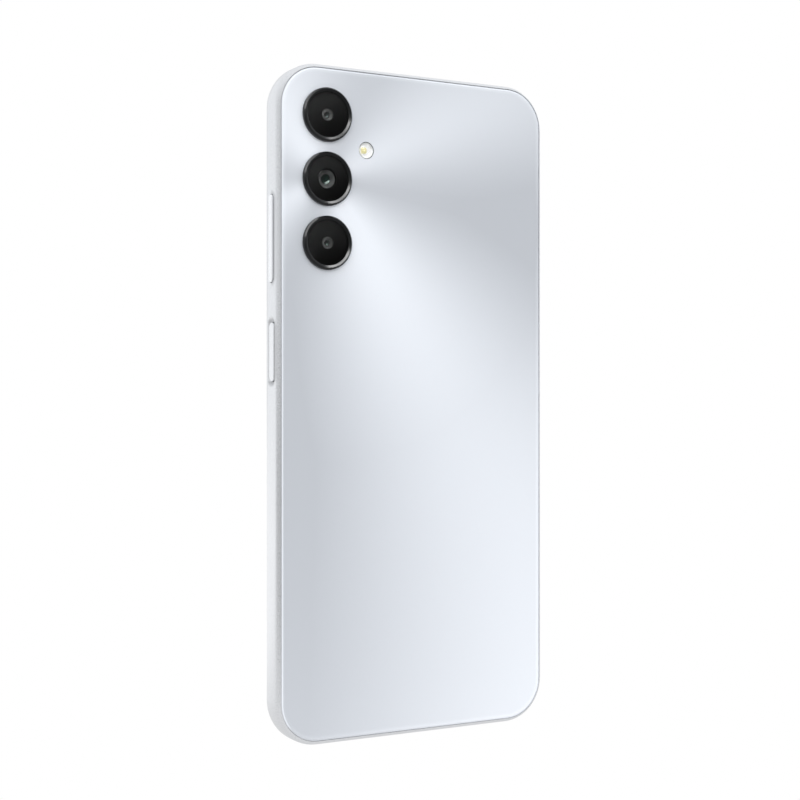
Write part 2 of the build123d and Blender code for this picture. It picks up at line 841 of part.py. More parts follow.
reader_left = -bay_side + fit_gap
reader_front = main_board_rear
with BuildPart() as sim_reader_shell:
    block((reader_left, reader_front, reader_low), (reader_right, reader_rear, reader_high))
    block(
        (reader_left - 1, reader_front + reader_wall, reader_low + reader_wall),
        (reader_right - reader_wall, reader_rear - reader_wall, reader_high - reader_wall),
        Mode.SUBTRACT,
    )
save(sim_reader_shell, "sim_reader_shell")

lever_front = port_line - lever_thickness / 2
lever_rear = port_line + lever_thickness / 2
with BuildPart() as eject_lever:
    block(
        (lever_x - lever_half_width, lever_front, lever_z - lever_arm_slider - lever_end_margin),
        (lever_x + lever_half_width, lever_rear, lever_z + lever_arm_rod + lever_end_margin),
    )
    disc(lever_x, lever_z, lever_pin_radius + lever_pin_gap, lever_front - 1, lever_rear + 1, Mode.SUBTRACT)
save(eject_lever, "eject_lever")

with BuildPart() as eject_lever_pin:
    disc(lever_x, lever_z, lever_pin_radius, reader_front + reader_wall, reader_rear - reader_wall)
save(eject_lever_pin, "eject_lever_pin")

with BuildPart() as eject_rod:
    block(
        (tray_door_inner + seat_gap + fit_gap, port_line - rod_width / 2, rod_z - rod_width / 2),
        (rod_tip, port_line + rod_width / 2, rod_z + rod_width / 2),
    )
save(eject_rod, "eject_rod")

with BuildPart() as eject_slider:
    block(
        (slider_left, tray_front, tray_low + slider_side_margin),
        (slider_right, tray_rear, tray_low + tray_width - slider_side_margin),
    )
save(eject_slider, "eject_slider")


# ---------------------------------------------------------------- main board and its parts
notch_top = main_board_top + 1
with BuildPart() as main_board:
    trimmed_block(
        (main_board_left, main_board_front, main_board_bottom),
        (main_board_right, main_board_rear, main_board_top),
        bay_wall + part_gap,
    )
    block(
        (notch_left, main_board_front - 1, notch_bottom),
        (notch_right, main_board_rear + 1, notch_top),
        Mode.SUBTRACT,
    )
    for x, z in upper_screws:
        disc(x, z, screw_radius + screw_hole_gap, main_board_front - 1, main_board_rear + 1, Mode.SUBTRACT)
save(main_board, "main_board")

can_low = main_board_bottom + can_bottom_margin
can_side_left = upper_screws[0][0] + boss_radius + part_gap
can_side_right = upper_screws[1][0] - boss_radius - part_gap
can_split = (can_side_left + can_side_right) / 2
can_right_left = reader_right + part_gap
can_boxes = [
    (can_side_left, can_low, can_split - part_gap, can_low + can_height_lower),
    (can_split + part_gap, can_low, can_side_right, can_low + can_height_lower),
    (can_right_left, can_low + can_height_lower + part_gap, main_board_right - part_gap,
     notch_bottom - part_gap),
]
with BuildPart() as shield_cans:
    for left, low, right, high in can_boxes:
        block((left, main_board_rear, low), (right, can_rear, high))
        block(
            (left + can_wall, main_board_rear - 1, low + can_wall),
            (right - can_wall, can_rear - can_wall, high - can_wall),
            Mode.SUBTRACT,
        )
save(shield_cans, "shield_cans")

with BuildPart() as board_chips:
    for left, low, right, high in can_boxes:
        block(
            (left + chip_margin, main_board_rear, low + chip_margin),
            (right - chip_margin, main_board_rear + chip_thickness, high - chip_margin),
        )
save(board_chips, "board_chips")


def screw_post(x, z, board_rear):
    """A bracket's post down to its board, with the screw's counterbored hole."""
    disc(x, z, boss_radius, board_rear, bracket_front)


def screw_bore(x, z, board_rear):
    """The screw's hole through a bracket and its post."""
    disc(x, z, screw_radius + screw_hole_gap, board_rear - 1, bracket_rear + 1, Mode.SUBTRACT)
    disc(
        x, z, screw_head_radius + counterbore_gap,
        bracket_rear - screw_head_height, bracket_rear + 1, Mode.SUBTRACT,
    )


with BuildPart() as upper_bracket:
    trimmed_block(
        (-bay_side, bracket_front, main_board_bottom + seat_gap),
        (main_board_right, bracket_rear, bay_top),
        bay_wall + part_gap,
    )
    for x, z in upper_screws:
        screw_post(x, z, main_board_rear)
    for x, z in upper_screws:
        screw_bore(x, z, main_board_rear)
    disc(
        flash_x, flash_z, flash_radius + flash_flange_width + part_gap,
        bracket_front - 1, bracket_rear + 1, Mode.SUBTRACT,
    )
save(upper_bracket, "upper_bracket")


# ---------------------------------------------------------------- lower board and bracket
jack_half_width = jack_radius + jack_side_wall
with BuildPart() as sub_board:
    block(
        (-sub_board_side, floor_y, sub_board_bar_bottom),
        (sub_board_side, sub_board_rear, sub_board_top),
    )
    block(
        (-sub_board_stem_left, floor_y, sub_board_bottom),
        (sub_board_stem_right, sub_board_rear, sub_board_bar_bottom),
    )
    for x, z in lower_screws:
        disc(x, z, screw_radius + screw_hole_gap, floor_y - 1, sub_board_rear + 1, Mode.SUBTRACT)
save(sub_board, "sub_board")

with BuildPart() as lower_bracket:
    trimmed_block(
        (-bay_side, bracket_front, bay_wall),
        (bay_side, bracket_rear, sub_board_top + part_gap),
        bay_wall + part_gap,
    )
    for x, z in lower_screws:
        screw_post(x, z, sub_board_rear)
    for x, z in lower_screws:
        screw_bore(x, z, sub_board_rear)
    block(
        (jack_x - jack_half_width - part_gap, bracket_front - 1, sub_board_bottom - 1),
        (jack_x + jack_half_width + part_gap, bracket_rear + 1, jack_depth + jack_end_wall + part_gap),
        Mode.SUBTRACT,
    )
save(lower_bracket, "lower_bracket")

with BuildPart() as bracket_screws:
    for x, z in upper_screws + lower_screws:
        disc(x, z, screw_radius, plate_front, bracket_rear - screw_head_height)
        disc(x, z, screw_head_radius, bracket_rear - screw_head_height, bracket_rear)
        disc(x, z, screw_drive_radius, bracket_rear - screw_drive_depth, bracket_rear + 1, Mode.SUBTRACT)
save(bracket_screws, "bracket_screws")

with BuildPart() as microphones:
    block(
        (bottom_mic_x - mic_length / 2, sub_board_rear, sub_board_bottom),
        (bottom_mic_x + mic_length / 2, sub_board_rear + mic_height, sub_board_bottom + mic_width),
    )
    block(
        (top_mic_x - mic_length / 2, main_board_rear, main_board_top - mic_width),
        (top_mic_x + mic_length / 2, main_board_rear + mic_height, main_board_top),
    )
save(microphones, "microphones")


# ---------------------------------------------------------------- battery and its leads
with BuildPart() as battery:
    block((battery_left, battery_front, battery_bottom), (battery_right, battery_rear, battery_top))
    fillet(battery.edges().filter_by(Axis.Z), radius=battery_edge_round)
save(battery, "battery")

with BuildPart() as battery_tape:
    third = (battery_right - battery_left) / 3
    for middle in (battery_left + third / 2, battery_right - third / 2):
        block(
            (middle - battery_tape_width / 2, floor_y, battery_bottom + part_gap),
            (middle + battery_tape_width / 2, battery_front, battery_top - part_gap),
        )
save(battery_tape, "battery_tape")

battery_board_top = battery_top + battery_board_height
with BuildPart() as battery_connector:
    block(
        (-battery_board_left, main_board_rear, battery_top),
        (-battery_board_right, bracket_front, battery_board_top),
    )
    block(
        (-battery_flex_left, main_board_rear, battery_board_top),
        (-battery_flex_right, main_board_rear + flex_thickness, main_board_bottom + flex_foot),
    )
    block(
        (-battery_flex_left, main_board_rear, main_board_bottom + seat_gap),
        (-battery_flex_right, main_board_rear + 4 * flex_thickness, main_board_bottom + flex_foot),
    )
save(battery_connector, "battery_connector")

run_bottom = battery_bottom - part_gap
run_top = main_board_bottom - part_gap
with BuildPart() as main_flex:
    block(
        (main_flex_left, battery_rear, run_bottom),
        (main_flex_right, battery_rear + flex_thickness, run_top),
    )
    block(
        (main_flex_left, sub_board_rear, run_bottom),
        (main_flex_right, battery_rear + flex_thickness, run_bottom + flex_thickness),
    )
    block(
        (main_flex_left, sub_board_rear, sub_board_top - flex_foot),
        (main_flex_right, sub_board_rear + flex_thickness, run_bottom + flex_thickness),
    )
    block(
        (main_flex_left, main_board_rear, run_top - flex_thickness),
        (main_flex_right, battery_rear + flex_thickness, run_top),
    )
    block(
        (main_flex_left, main_board_rear, run_top - flex_thickness),
        (main_flex_right, main_board_rear + flex_thickness, main_board_bottom + flex_foot),
    )
save(main_flex, "main_flex")

coax_y = main_board_rear + coax_radius + seat_gap
coax_run_x = -bay_side + coax_side_inset
coax_end_x = coax_run_x + coax_plug_offset
coax_low_z = sub_board_top - coax_plug_radius - seat_gap
coax_high_z = main_board_bottom + coax_plug_radius + seat_gap
coax_points = [
    (coax_end_x, coax_y, coax_low_z),
    (coax_run_x, coax_y, coax_low_z + coax_plug_offset + part_gap),
    (coax_run_x, coax_y, coax_high_z - coax_plug_offset - part_gap),
    (coax_end_x, coax_y, coax_high_z),
]
coax_turn = math.atan2(coax_plug_offset, coax_plug_offset + part_gap)
coax_end_run = math.hypot(coax_plug_offset, coax_plug_offset + part_gap)
coax_bend = 0.45 * coax_end_run / math.tan(coax_turn / 2)
print("coax bend radius", round(coax_bend, 2))
with BuildPart() as antenna_cable:
    with BuildLine() as coax_route:
        FilletPolyline(*coax_points, radius=coax_bend)
    with BuildSketch(Plane(origin=coax_route.line @ 0, z_dir=coax_route.line % 0)):
        Circle(coax_radius)
    sweep()
    disc(coax_end_x, coax_low_z, coax_plug_radius, sub_board_rear, coax_y + coax_radius)
    disc(coax_end_x, coax_high_z, coax_plug_radius, main_board_rear, coax_y + coax_radius)
save(antenna_cable, "antenna_cable")


# ---------------------------------------------------------------- front camera and earpiece
camera_half = front_camera_width / 2
barrel_front = glass_rear + fit_gap
with BuildPart() as front_camera_housing:
    block(
        (-camera_half, floor_y, front_camera_z - camera_half),
        (camera_half, floor_y + front_camera_height, front_camera_z + camera_half),
    )
    fillet(front_camera_housing.edges().filter_by(Axis.Y), radius=cover_rim_width)
save(front_camera_housing, "front_camera_housing")

with BuildPart() as front_camera_lens:
    disc(0, front_camera_z, front_barrel_radius, barrel_front, floor_y)
    disc(
        0, front_camera_z, front_aperture_radius,
        barrel_front - 1, barrel_front + aperture_depth, Mode.SUBTRACT,
    )
save(front_camera_lens, "front_camera_lens")

with BuildPart() as earpiece_grille:
    block(
        (-earpiece_slot_length / 2 + fit_gap, front_y + glass_edge_round, slot_bottom + fit_gap),
        (earpiece_slot_length / 2 - fit_gap, front_ledge, glass_top),
    )
save(earpiece_grille, "earpiece_grille")

earpiece_low = earpiece_z - earpiece_width / 2
earpiece_high = earpiece_z + earpiece_width / 2
earpiece_left = earpiece_x - earpiece_length / 2
earpiece_right = earpiece_x + earpiece_length / 2
earpiece_rear = floor_y + earpiece_height
with BuildPart() as earpiece_receiver:
    block((earpiece_left, floor_y, earpiece_low), (earpiece_right, earpiece_rear, earpiece_high))
    block(
        (earpiece_left + earpiece_wall, floor_y - 1, earpiece_low + earpiece_wall),
        (earpiece_right - earpiece_wall, earpiece_rear - earpiece_wall - magnet_height / 2,
         earpiece_high - earpiece_wall),
        Mode.SUBTRACT,
    )
save(earpiece_receiver, "earpiece_receiver")

earpiece_cone_front = floor_y + 2 * earpiece_stroke
with BuildPart() as earpiece_diaphragm:
    block(
        (earpiece_left + earpiece_wall + slide_gap, earpiece_cone_front,
         earpiece_low + earpiece_wall + slide_gap),
        (earpiece_right - earpiece_wall - slide_gap, earpiece_cone_front + earpiece_diaphragm_thickness,
         earpiece_high - earpiece_wall - slide_gap),
    )
save(earpiece_diaphragm, "earpiece_diaphragm")


# ---------------------------------------------------------------- charging port and headphone socket
usb_base_low = usb_mouth_recess + usb_shell_length - usb_base_length
with BuildPart() as usb_c_shell:
    end_slot(0, usb_mouth_recess, usb_mouth_recess + usb_shell_length, usb_shell_width, usb_shell_height)
    end_slot(
        0, usb_mouth_recess - 1, usb_mouth_recess + usb_shell_length + 1,
        usb_shell_width - 2 * usb_shell_wall, usb_shell_height - 2 * usb_shell_wall, Mode.SUBTRACT,
    )
save(usb_c_shell, "usb_c_shell")

with BuildPart() as usb_c_tongue:
    end_slot(
        0, usb_base_low, usb_mouth_recess + usb_shell_length,
        usb_shell_width - 2 * usb_shell_wall - fit_gap, usb_shell_height - 2 * usb_shell_wall - fit_gap,
    )
    end_slot(
        0, usb_mouth_recess + usb_tongue_recess, usb_base_low, usb_tongue_width, usb_tongue_thickness,
    )
save(usb_c_tongue, "usb_c_tongue")

with BuildPart() as audio_jack:
    block(
        (jack_x - jack_half_width, port_line - jack_radius - jack_wall, sub_board_bottom),
        (jack_x + jack_half_width, port_line + jack_radius + jack_wall, jack_depth + jack_end_wall),
    )
    fillet(audio_jack.edges().filter_by(Axis.Z), radius=cover_rim_width)
    upright_disc(jack_x, jack_radius, sub_board_bottom - 1, jack_depth, Mode.SUBTRACT)
save(audio_jack, "audio_jack")


# ---------------------------------------------------------------- loudspeaker
speaker_right = half_width - speaker_side_margin
speaker_bottom = bay_wall + speaker_mesh_thickness
speaker_rear = bracket_front - speaker_top_gap
speaker_top = speaker_bottom + speaker_height
driver_left = speaker_left + speaker_wall + driver_margin
driver_right = driver_left + driver_length
port_low = port_line - speaker_port_height / 2
port_high = port_line + speaker_port_height / 2
port_right = speaker_port_left + speaker_port_length
with BuildPart() as speaker_box:
    trimmed_block(
        (speaker_left, floor_y, speaker_bottom),
        (speaker_right, speaker_rear, speaker_top),
        bay_wall + seat_gap,
    )
    trimmed_block(
        (speaker_left + speaker_wall, floor_y - 1, speaker_bottom + speaker_wall),
        (speaker_right - speaker_wall, speaker_rear - speaker_wall, speaker_top - speaker_wall),
        bay_wall + seat_gap + speaker_wall,
        Mode.SUBTRACT,
    )
    block(
        (speaker_port_left, port_low, speaker_bottom - 1),
        (port_right, port_high, speaker_bottom + speaker_wall + 1),
        Mode.SUBTRACT,
    )
save(speaker_box, "speaker_box")

with BuildPart() as speaker_mesh:
    block(
        (speaker_port_left - part_gap, port_low - part_gap, bay_wall),
        (port_right + part_gap, port_high + part_gap, speaker_bottom),
    )
save(speaker_mesh, "speaker_mesh")

magnet_rear = floor_y + magnet_height
driver_low = speaker_bottom + speaker_wall + driver_margin
driver_high = speaker_top - speaker_wall - driver_margin
with BuildPart() as speaker_magnet:
    block((driver_left, floor_y, driver_low), (driver_right, magnet_rear, driver_high))
save(speaker_magnet, "speaker_magnet")

with BuildPart() as speaker_diaphragm:
    block(
        (driver_left, magnet_rear + diaphragm_rest_gap, driver_low),
        (driver_right, magnet_rear + diaphragm_rest_gap + diaphragm_thickness, driver_high),
    )
save(speaker_diaphragm, "speaker_diaphragm")


# ---------------------------------------------------------------- vibration motor
motor_rear = floor_y + motor_height
cavity_radius = motor_radius - motor_wall
with BuildPart() as vibration_motor_can:
    disc(motor_x, motor_z, motor_radius, floor_y, motor_rear)
    disc(motor_x, motor_z, cavity_radius, floor_y - 1, motor_rear - motor_wall, Mode.SUBTRACT)
    disc(motor_x, motor_z, motor_shaft_radius, floor_y, motor_rear - motor_wall)
save(vibration_motor_can, "vibration_motor_can")

weight_front = floor_y + motor_gap
weight_rear = motor_rear - motor_wall - motor_gap
with BuildPart() as vibration_weight:
    disc(motor_x, motor_z, cavity_radius - motor_gap, weight_front, weight_rear)
    block(
        (motor_x - motor_radius, weight_front - 1, motor_z),
        (motor_x + motor_radius, weight_rear + 1, motor_z + motor_radius),
        Mode.SUBTRACT,
    )
    disc(motor_x, motor_z, motor_hub_radius, weight_front, weight_rear)
    disc(
        motor_x, motor_z, motor_shaft_radius + motor_shaft_gap,
        weight_front - 1, weight_rear + 1, Mode.SUBTRACT,
    )
save(vibration_weight, "vibration_weight")
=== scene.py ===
"""Looks for the smartphone: materials, camera lenses, flash, screen border, studio and camera.

Everything is in metres in the CAD frame: +Z runs up the phone, -Y faces the screen's side, +Y the rear
cover and +X the side with the keys.
"""

import json
import math

import bmesh
import bpy
from mathutils import Matrix, Vector


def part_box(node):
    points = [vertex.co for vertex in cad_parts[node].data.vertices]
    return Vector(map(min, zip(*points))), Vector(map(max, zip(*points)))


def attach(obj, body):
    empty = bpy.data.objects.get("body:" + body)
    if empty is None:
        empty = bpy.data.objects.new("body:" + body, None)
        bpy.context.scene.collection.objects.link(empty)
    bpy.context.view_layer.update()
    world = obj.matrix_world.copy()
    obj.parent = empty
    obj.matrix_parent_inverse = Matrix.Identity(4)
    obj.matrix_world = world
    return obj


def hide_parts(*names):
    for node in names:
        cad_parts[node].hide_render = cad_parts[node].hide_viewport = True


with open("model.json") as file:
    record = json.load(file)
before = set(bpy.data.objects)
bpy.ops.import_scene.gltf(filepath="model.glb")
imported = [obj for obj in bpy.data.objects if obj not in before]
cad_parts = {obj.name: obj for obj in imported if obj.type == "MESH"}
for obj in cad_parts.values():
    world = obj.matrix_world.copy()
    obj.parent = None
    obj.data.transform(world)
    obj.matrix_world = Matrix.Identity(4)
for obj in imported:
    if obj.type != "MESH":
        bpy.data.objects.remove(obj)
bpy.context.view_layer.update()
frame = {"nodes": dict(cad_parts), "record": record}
nodes = frame["nodes"]
scene = bpy.context.scene
MM = 0.001


# ---------------------------------------------------------------- places read from the frame
def middle(name):
    """The middle of a CAD node's box."""
    low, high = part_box(name)
    return (low + high) / 2


phone_low, phone_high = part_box("side_frame")
cover_low, cover_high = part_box("rear_cover")
glass_low, glass_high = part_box("lens_glasses")
phone_height = phone_high.z - phone_low.z
rear_plane = cover_high.y
lens_x = middle("lens_glasses").x
lens_z = {place: middle(f"lens_ring_{place}").z for place in ("upper", "middle", "lower")}
lens_glass_radius = (glass_high.x - glass_low.x) / 2

# sizes in millimetres that both a material and a piece follow
main_cone_depth = 0.65
small_cone_depth = 0.33
die_offset = 0.5
die_radius = 0.95


# ---------------------------------------------------------------- short ways to write node trees
class Finish:
    """A material with a Principled shader, and short ways to add nodes to it."""

    def __init__(self, name, **sockets):
        self.material = bpy.data.materials.new(name)
        self.material.use_nodes = True
        self.tree = self.material.node_tree
        self.shader = self.tree.nodes["Principled BSDF"]
        self.place = self.add("ShaderNodeTexCoord").outputs["Object"]
        for socket, value in sockets.items():
            self.shader.inputs[socket.replace("_", " ")].default_value = value

    def add(self, kind, **settings):
        node = self.tree.nodes.new(kind)
        for setting, value in settings.items():
            setattr(node, setting, value)
        return node

    def join(self, source, target):
        """Feeds a socket or a plain value to another node's input."""
        if isinstance(source, (int, float, tuple)):
            target.default_value = source
        else:
            self.tree.links.new(source, target)

    def set(self, name, source):
        """Feeds one of the Principled shader's own inputs."""
        self.join(source, self.shader.inputs[name])

    def math(self, operation, first, second=0.0, clamp=False):
        node = self.add("ShaderNodeMath", operation=operation, use_clamp=clamp)
        self.join(first, node.inputs[0])
        self.join(second, node.inputs[1])
        return node.outputs[0]

    def axes(self):
        """The surface point's X, Y and Z in millimetres."""
        scaled = self.add("ShaderNodeVectorMath", operation="SCALE")
        self.join(self.place, scaled.inputs[0])
        scaled.inputs["Scale"].default_value = 1 / MM
        split = self.add("ShaderNodeSeparateXYZ")
        self.join(scaled.outputs[0], split.inputs[0])
        return split.outputs

    def stretched(self, x, y, z):
        """The surface point with each axis scaled, for grain that runs one way."""
        mapping = self.add("ShaderNodeMapping")
        self.join(self.place, mapping.inputs["Vector"])
        mapping.inputs["Scale"].default_value = (x, y, z)
        return mapping.outputs[0]

    def noise(self, size_mm, detail=2.0, rough=0.5, where=None):
        """Noise from 0 to 1 whose blotches are about size_mm across."""
        node = self.add("ShaderNodeTexNoise")
        self.join(where or self.place, node.inputs["Vector"])
        node.inputs["Scale"].default_value = 1 / (size_mm * MM)
        node.inputs["Detail"].default_value = detail
        node.inputs["Roughness"].default_value = rough
        return node.outputs["Fac"]

    def cells(self, size_mm, feature="F1"):
        """Distance to the nearest cell's middle or edge, in cells about size_mm across."""
        node = self.add("ShaderNodeTexVoronoi", feature=feature)
        self.join(self.place, node.inputs["Vector"])
        node.inputs["Scale"].default_value = 1 / (size_mm * MM)
        return node.outputs["Distance"]

    def spread(self, value, low, high, to_low=0.0, to_high=1.0, smooth=True):
        """Maps low..high to to_low..to_high, held at the ends."""
        node = self.add("ShaderNodeMapRange", interpolation_type="SMOOTHSTEP" if smooth else "LINEAR")
        self.join(value, node.inputs["Value"])
        ends = {"From Min": low, "From Max": high, "To Min": to_low, "To Max": to_high}
        for socket, number in ends.items():
            node.inputs[socket].default_value = number
        return node.outputs["Result"]

    def blend(self, factor, first, second):
        """Mixes two colours."""
        node = self.add("ShaderNodeMix", data_type="RGBA")
        self.join(factor, node.inputs[0])
        self.join(first, node.inputs[6])
        self.join(second, node.inputs[7])
        return node.outputs[2]

    def ramp(self, value, stops, smooth):
        """A level for each place from 0 to 1."""
        node = self.add("ShaderNodeValToRGB")
        node.color_ramp.interpolation = smooth
        steps = node.color_ramp.elements
        while len(steps) < len(stops):
            steps.new(0.5)
        for step, (place, level) in zip(steps, stops):
            step.position = place
            step.color = (level, level, level, 1)
        self.join(value, node.inputs["Fac"])
        return node.outputs["Color"]

    def bump(self, height, depth_mm, strength=1.0):
        """Raises the surface by depth_mm where height is 1."""
        node = self.add("ShaderNodeBump")
        node.inputs["Strength"].default_value = strength
        node.inputs["Distance"].default_value = depth_mm * MM
        self.join(height, node.inputs["Height"])
        self.set("Normal", node.outputs["Normal"])


def grey(level, blue=0.0):
    """A display grey from 0 to 255, cooler with blue above 0, as a linear colour."""
    def linear(value):
        value = max(value, 0) / 255
        return value / 12.92 if value <= 0.04045 else ((value + 0.055) / 1.055) ** 2.4
    return (linear(level - 0.5 * blue), linear(level), linear(level + blue), 1)


def colour(red, green, blue):
    """A display colour from 0 to 255, as a linear colour."""
    return (grey(red)[0], grey(green)[1], grey(blue)[2], 1)


# ---------------------------------------------------------------- outer materials
frame_paint_light = 240
frame_paint_dark = 235


def painted_silver(name, light, dark, roughness):
    """Fine metal flake under satin lacquer. Gives the finish, its tone and its flake."""
    paint = Finish(name, Metallic=0.92, Coat_Weight=0.2, Coat_Roughness=0.2)
    flake = paint.noise(0.12, detail=3, rough=0.7)
    drift = paint.noise(9.0, detail=1)
    tone = paint.math("ADD", paint.math("MULTIPLY", flake, 0.8), paint.math("MULTIPLY", drift, 0.2))
    tone = paint.blend(paint.spread(tone, 0.3, 0.7), grey(dark, 3), grey(light, 3))
    paint.set("Base Color", tone)
    paint.set("Roughness", paint.spread(flake, 0.2, 0.8, roughness - 0.03, roughness + 0.04))
    return paint, tone, flake


def beside_key(paint, key, reach, ends):
    """Where painted shade falls: 1 beside a key's rear edge, ends past its two ends, falling to 0 at
    reach millimetres away.
    """
    flange = 0.8
    x, y, z = paint.axes()
    low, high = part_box(key)
    key_middle = (low + high) / 2 / MM
    half_width = (high.y - low.y) / 2 / MM
    half_length = (high.z - low.z) / 2 / MM - flange
    rise = paint.math("ABSOLUTE", paint.math("SUBTRACT", z, key_middle.z))
    along = paint.math("MAXIMUM", paint.math("SUBTRACT", rise, half_length - half_width), 0.0)
    across = paint.math("SUBTRACT", y, key_middle.y)
    squares = paint.math("ADD", paint.math("POWER", along, 2.0), paint.math("POWER", across, 2.0))
    far = paint.math("SQRT", squares)
    near = paint.spread(far, half_width + 0.05, half_width + reach, 1.0, 0.0)
    rear = paint.spread(across, -0.6, 0.7)
    past_end = paint.spread(rise, half_length - 0.3, half_length + 0.3, 0.0, ends)
    rear = paint.math("MAXIMUM", rear, past_end)
    keys_side = paint.spread(x, phone_high.x / MM - 3.0, phone_high.x / MM - 2.0)
    return paint.math("MULTIPLY", paint.math("MULTIPLY", near, rear), keys_side)


def frame_silver():
    """The frame's paint, duller at its rear lip, on crowned sides, with painted shade beside the keys."""
    paint, tone, flake = painted_silver("frame_silver", frame_paint_light, frame_paint_dark, 0.27)
    # painted shade in the gaps beside the keys, deeper in the dish round the power key
    upper = paint.math("MULTIPLY", beside_key(paint, "volume_key", 1.5, 0.0), 0.38)
    lower = paint.math("MULTIPLY", beside_key(paint, "power_key", 1.8, 0.9), 0.6)
    shade = paint.math("MAXIMUM", upper, lower)
    paint.set("Base Color", paint.blend(shade, tone, grey(90, 3)))
    _, y, _ = paint.axes()
    paint.set("Metallic", paint.spread(y, 3.4, 4.2, 0.92, 0.82))
    crown_start, crown_end, crown_slope = -0.5, 2.5, 0.25
    crown = paint.spread(y, crown_start, crown_end, smooth=False)
    crown_rise = 0.5 * crown_slope * (crown_end - crown_start)
    rounding = paint.math("MULTIPLY", paint.math("POWER", crown, 2.0), crown_rise)
    past_end = paint.math("MAXIMUM", paint.math("SUBTRACT", y, crown_end), 0.0)
    beyond = paint.math("MULTIPLY", past_end, crown_slope)
    height = paint.math("MULTIPLY", flake, 0.0004)
    height = paint.math("SUBTRACT", height, paint.math("ADD", rounding, beyond))
    paint.bump(height, 1.0)
    return paint.material


def key_silver():
    """The keys' paint, whiter on the volume key, whose taller flanks carry painted shade and less metal
    than its face.
    """
    between_keys = 109.0
    paint, tone, flake = painted_silver("key_silver", frame_paint_light + 8, frame_paint_dark + 10, 0.25)
    _, y, z = paint.axes()
    key_middle = middle("volume_key") / MM
    flank = paint.spread(paint.math("ABSOLUTE", paint.math("SUBTRACT", y, key_middle.y)), 0.85, 1.1)
    # painted shade on the keys' flanks, full on the volume key and faint on the power key
    painted_flank_shade = paint.math("MULTIPLY", flank, paint.spread(z, between_keys - 1, between_keys + 1, 0.1, 1.0))
    paint.set("Base Color", paint.blend(painted_flank_shade, tone, grey(206, 3)))
    metal_share = paint.spread(z, between_keys - 1, between_keys + 1, 0.92, 0.55)
    paint.set("Metallic", paint.math("SUBTRACT", metal_share, paint.math("MULTIPLY", painted_flank_shade, 0.3)))
    paint.bump(flake, 0.004, strength=0.08)
    return paint.material


# the ends of the cover's colour, across which its painted sheen and its painted rim highlight run
cover_dark = 199
cover_light = 250


def rounded_depth(finish, x, z, half_width, half_height, radius, centre_z):
    """How deep a point lies inside a rounded rectangle's outline, in millimetres."""
    across = finish.math("SUBTRACT", finish.math("ABSOLUTE", x), half_width - radius)
    rise = finish.math("ABSOLUTE", finish.math("SUBTRACT", z, centre_z))
    along = finish.math("SUBTRACT", rise, half_height - radius)
    corner_x = finish.math("POWER", finish.math("MAXIMUM", across, 0.0), 2.0)
    corner_z = finish.math("POWER", finish.math("MAXIMUM", along, 0.0), 2.0)
    corner = finish.math("SQRT", finish.math("ADD", corner_x, corner_z))
    flat = finish.math("MINIMUM", finish.math("MAXIMUM", across, along), 0.0)
    return finish.math("SUBTRACT", radius, finish.math("ADD", corner, flat))


def cover_silver():
    """Pearl silver with four soft fans of painted sheen about the middle camera, where its circular
    brushing reflects the lights.
    """
    corner_radius = 9.85
    pearl = Finish("cover_silver", Coat_Weight=0.1, Coat_Roughness=0.15)
    x, _, z = pearl.axes()
    # the painted sheen's direction from the middle camera, counted up from the side away from the keys
    side = pearl.math("SUBTRACT", lens_x / MM, x)
    rise = pearl.math("SUBTRACT", z, lens_z["middle"] / MM)
    turn = pearl.math("DIVIDE", pearl.math("ARCTAN2", rise, side), 2 * math.pi)
    turn = pearl.math("FRACT", pearl.math("ADD", turn, 1.0))
    painted_sheen_fans = pearl.ramp(turn, [
        (0.0, 0.06), (0.072, 0.62), (0.185, 0.17), (0.35, 0.90), (0.50, 0.20),
        (0.58, 0.755), (0.69, 0.12), (0.842, 0.985), (0.97, 0.025), (1.0, 0.06),
    ], smooth="CARDINAL")
    # the painted sheen fades away from the camera, and painted light makes the cover lighter towards its
    # far side and towards its top
    squares = pearl.math("ADD", pearl.math("POWER", side, 2.0), pearl.math("POWER", rise, 2.0))
    reach = pearl.math("SQRT", squares)
    fade = pearl.spread(reach, 8.0, 70.0, 0.0, 0.42, smooth=False)
    lift = pearl.spread(x, cover_high.x / MM, cover_low.x / MM, 0.0, 0.2, smooth=False)
    level = pearl.math("ADD", pearl.math("SUBTRACT", painted_sheen_fans, fade), lift)
    level = pearl.math("ADD", level, pearl.spread(z, 100.0, 145.0, 0.0, 0.08))
    grain = pearl.math("SUBTRACT", pearl.noise(0.35, detail=3, rough=0.7), 0.5)
    level = pearl.math("ADD", level, pearl.math("MULTIPLY", grain, 0.06))
    # a painted highlight on the polished rim, strongest on the keys' side, and a lighter painted line
    # just inside it
    half_width = (cover_high.x - cover_low.x) / 2 / MM
    half_height = (cover_high.z - cover_low.z) / 2 / MM
    centre_z = middle("rear_cover").z / MM
    depth = rounded_depth(pearl, x, z, half_width, half_height, corner_radius, centre_z)
    rim = pearl.spread(depth, 0.42, 0.3)
    inside = pearl.spread(depth, 1.4, 0.4, 0.0, 0.16)
    level = pearl.math("ADD", level, inside)
    # the rim's painted highlight is brightest on the keys' side
    keys_side = pearl.spread(x, cover_high.x / MM - 4.0, cover_high.x / MM - 1.0, 0.0, 0.8)
    level = pearl.math("ADD", level, pearl.math("MULTIPLY", rim, 0.1))
    level = pearl.math("MAXIMUM", level, pearl.math("MULTIPLY", rim, keys_side), clamp=True)
    pearl.set("Base Color", pearl.blend(level, grey(cover_dark, 6), grey(cover_light, 6)))
    pearl.set("Roughness", pearl.spread(grain, -0.3, 0.3, 0.34, 0.42))
    pearl.bump(grain, 0.002, strength=0.1)
    return pearl.material


def ring_black():
    """Glossy black metal with a polished, very lightly turned surface."""
    ring = Finish("ring_black", IOR=1.42)
    fine = ring.noise(0.08, detail=3)
    ring.set("Base Color", ring.blend(fine, grey(12, 2), grey(20, 2)))
    ring.set("Roughness", ring.spread(fine, 0.3, 0.7, 0.17, 0.23))
    ring.bump(fine, 0.002, strength=0.06)
    return ring.material


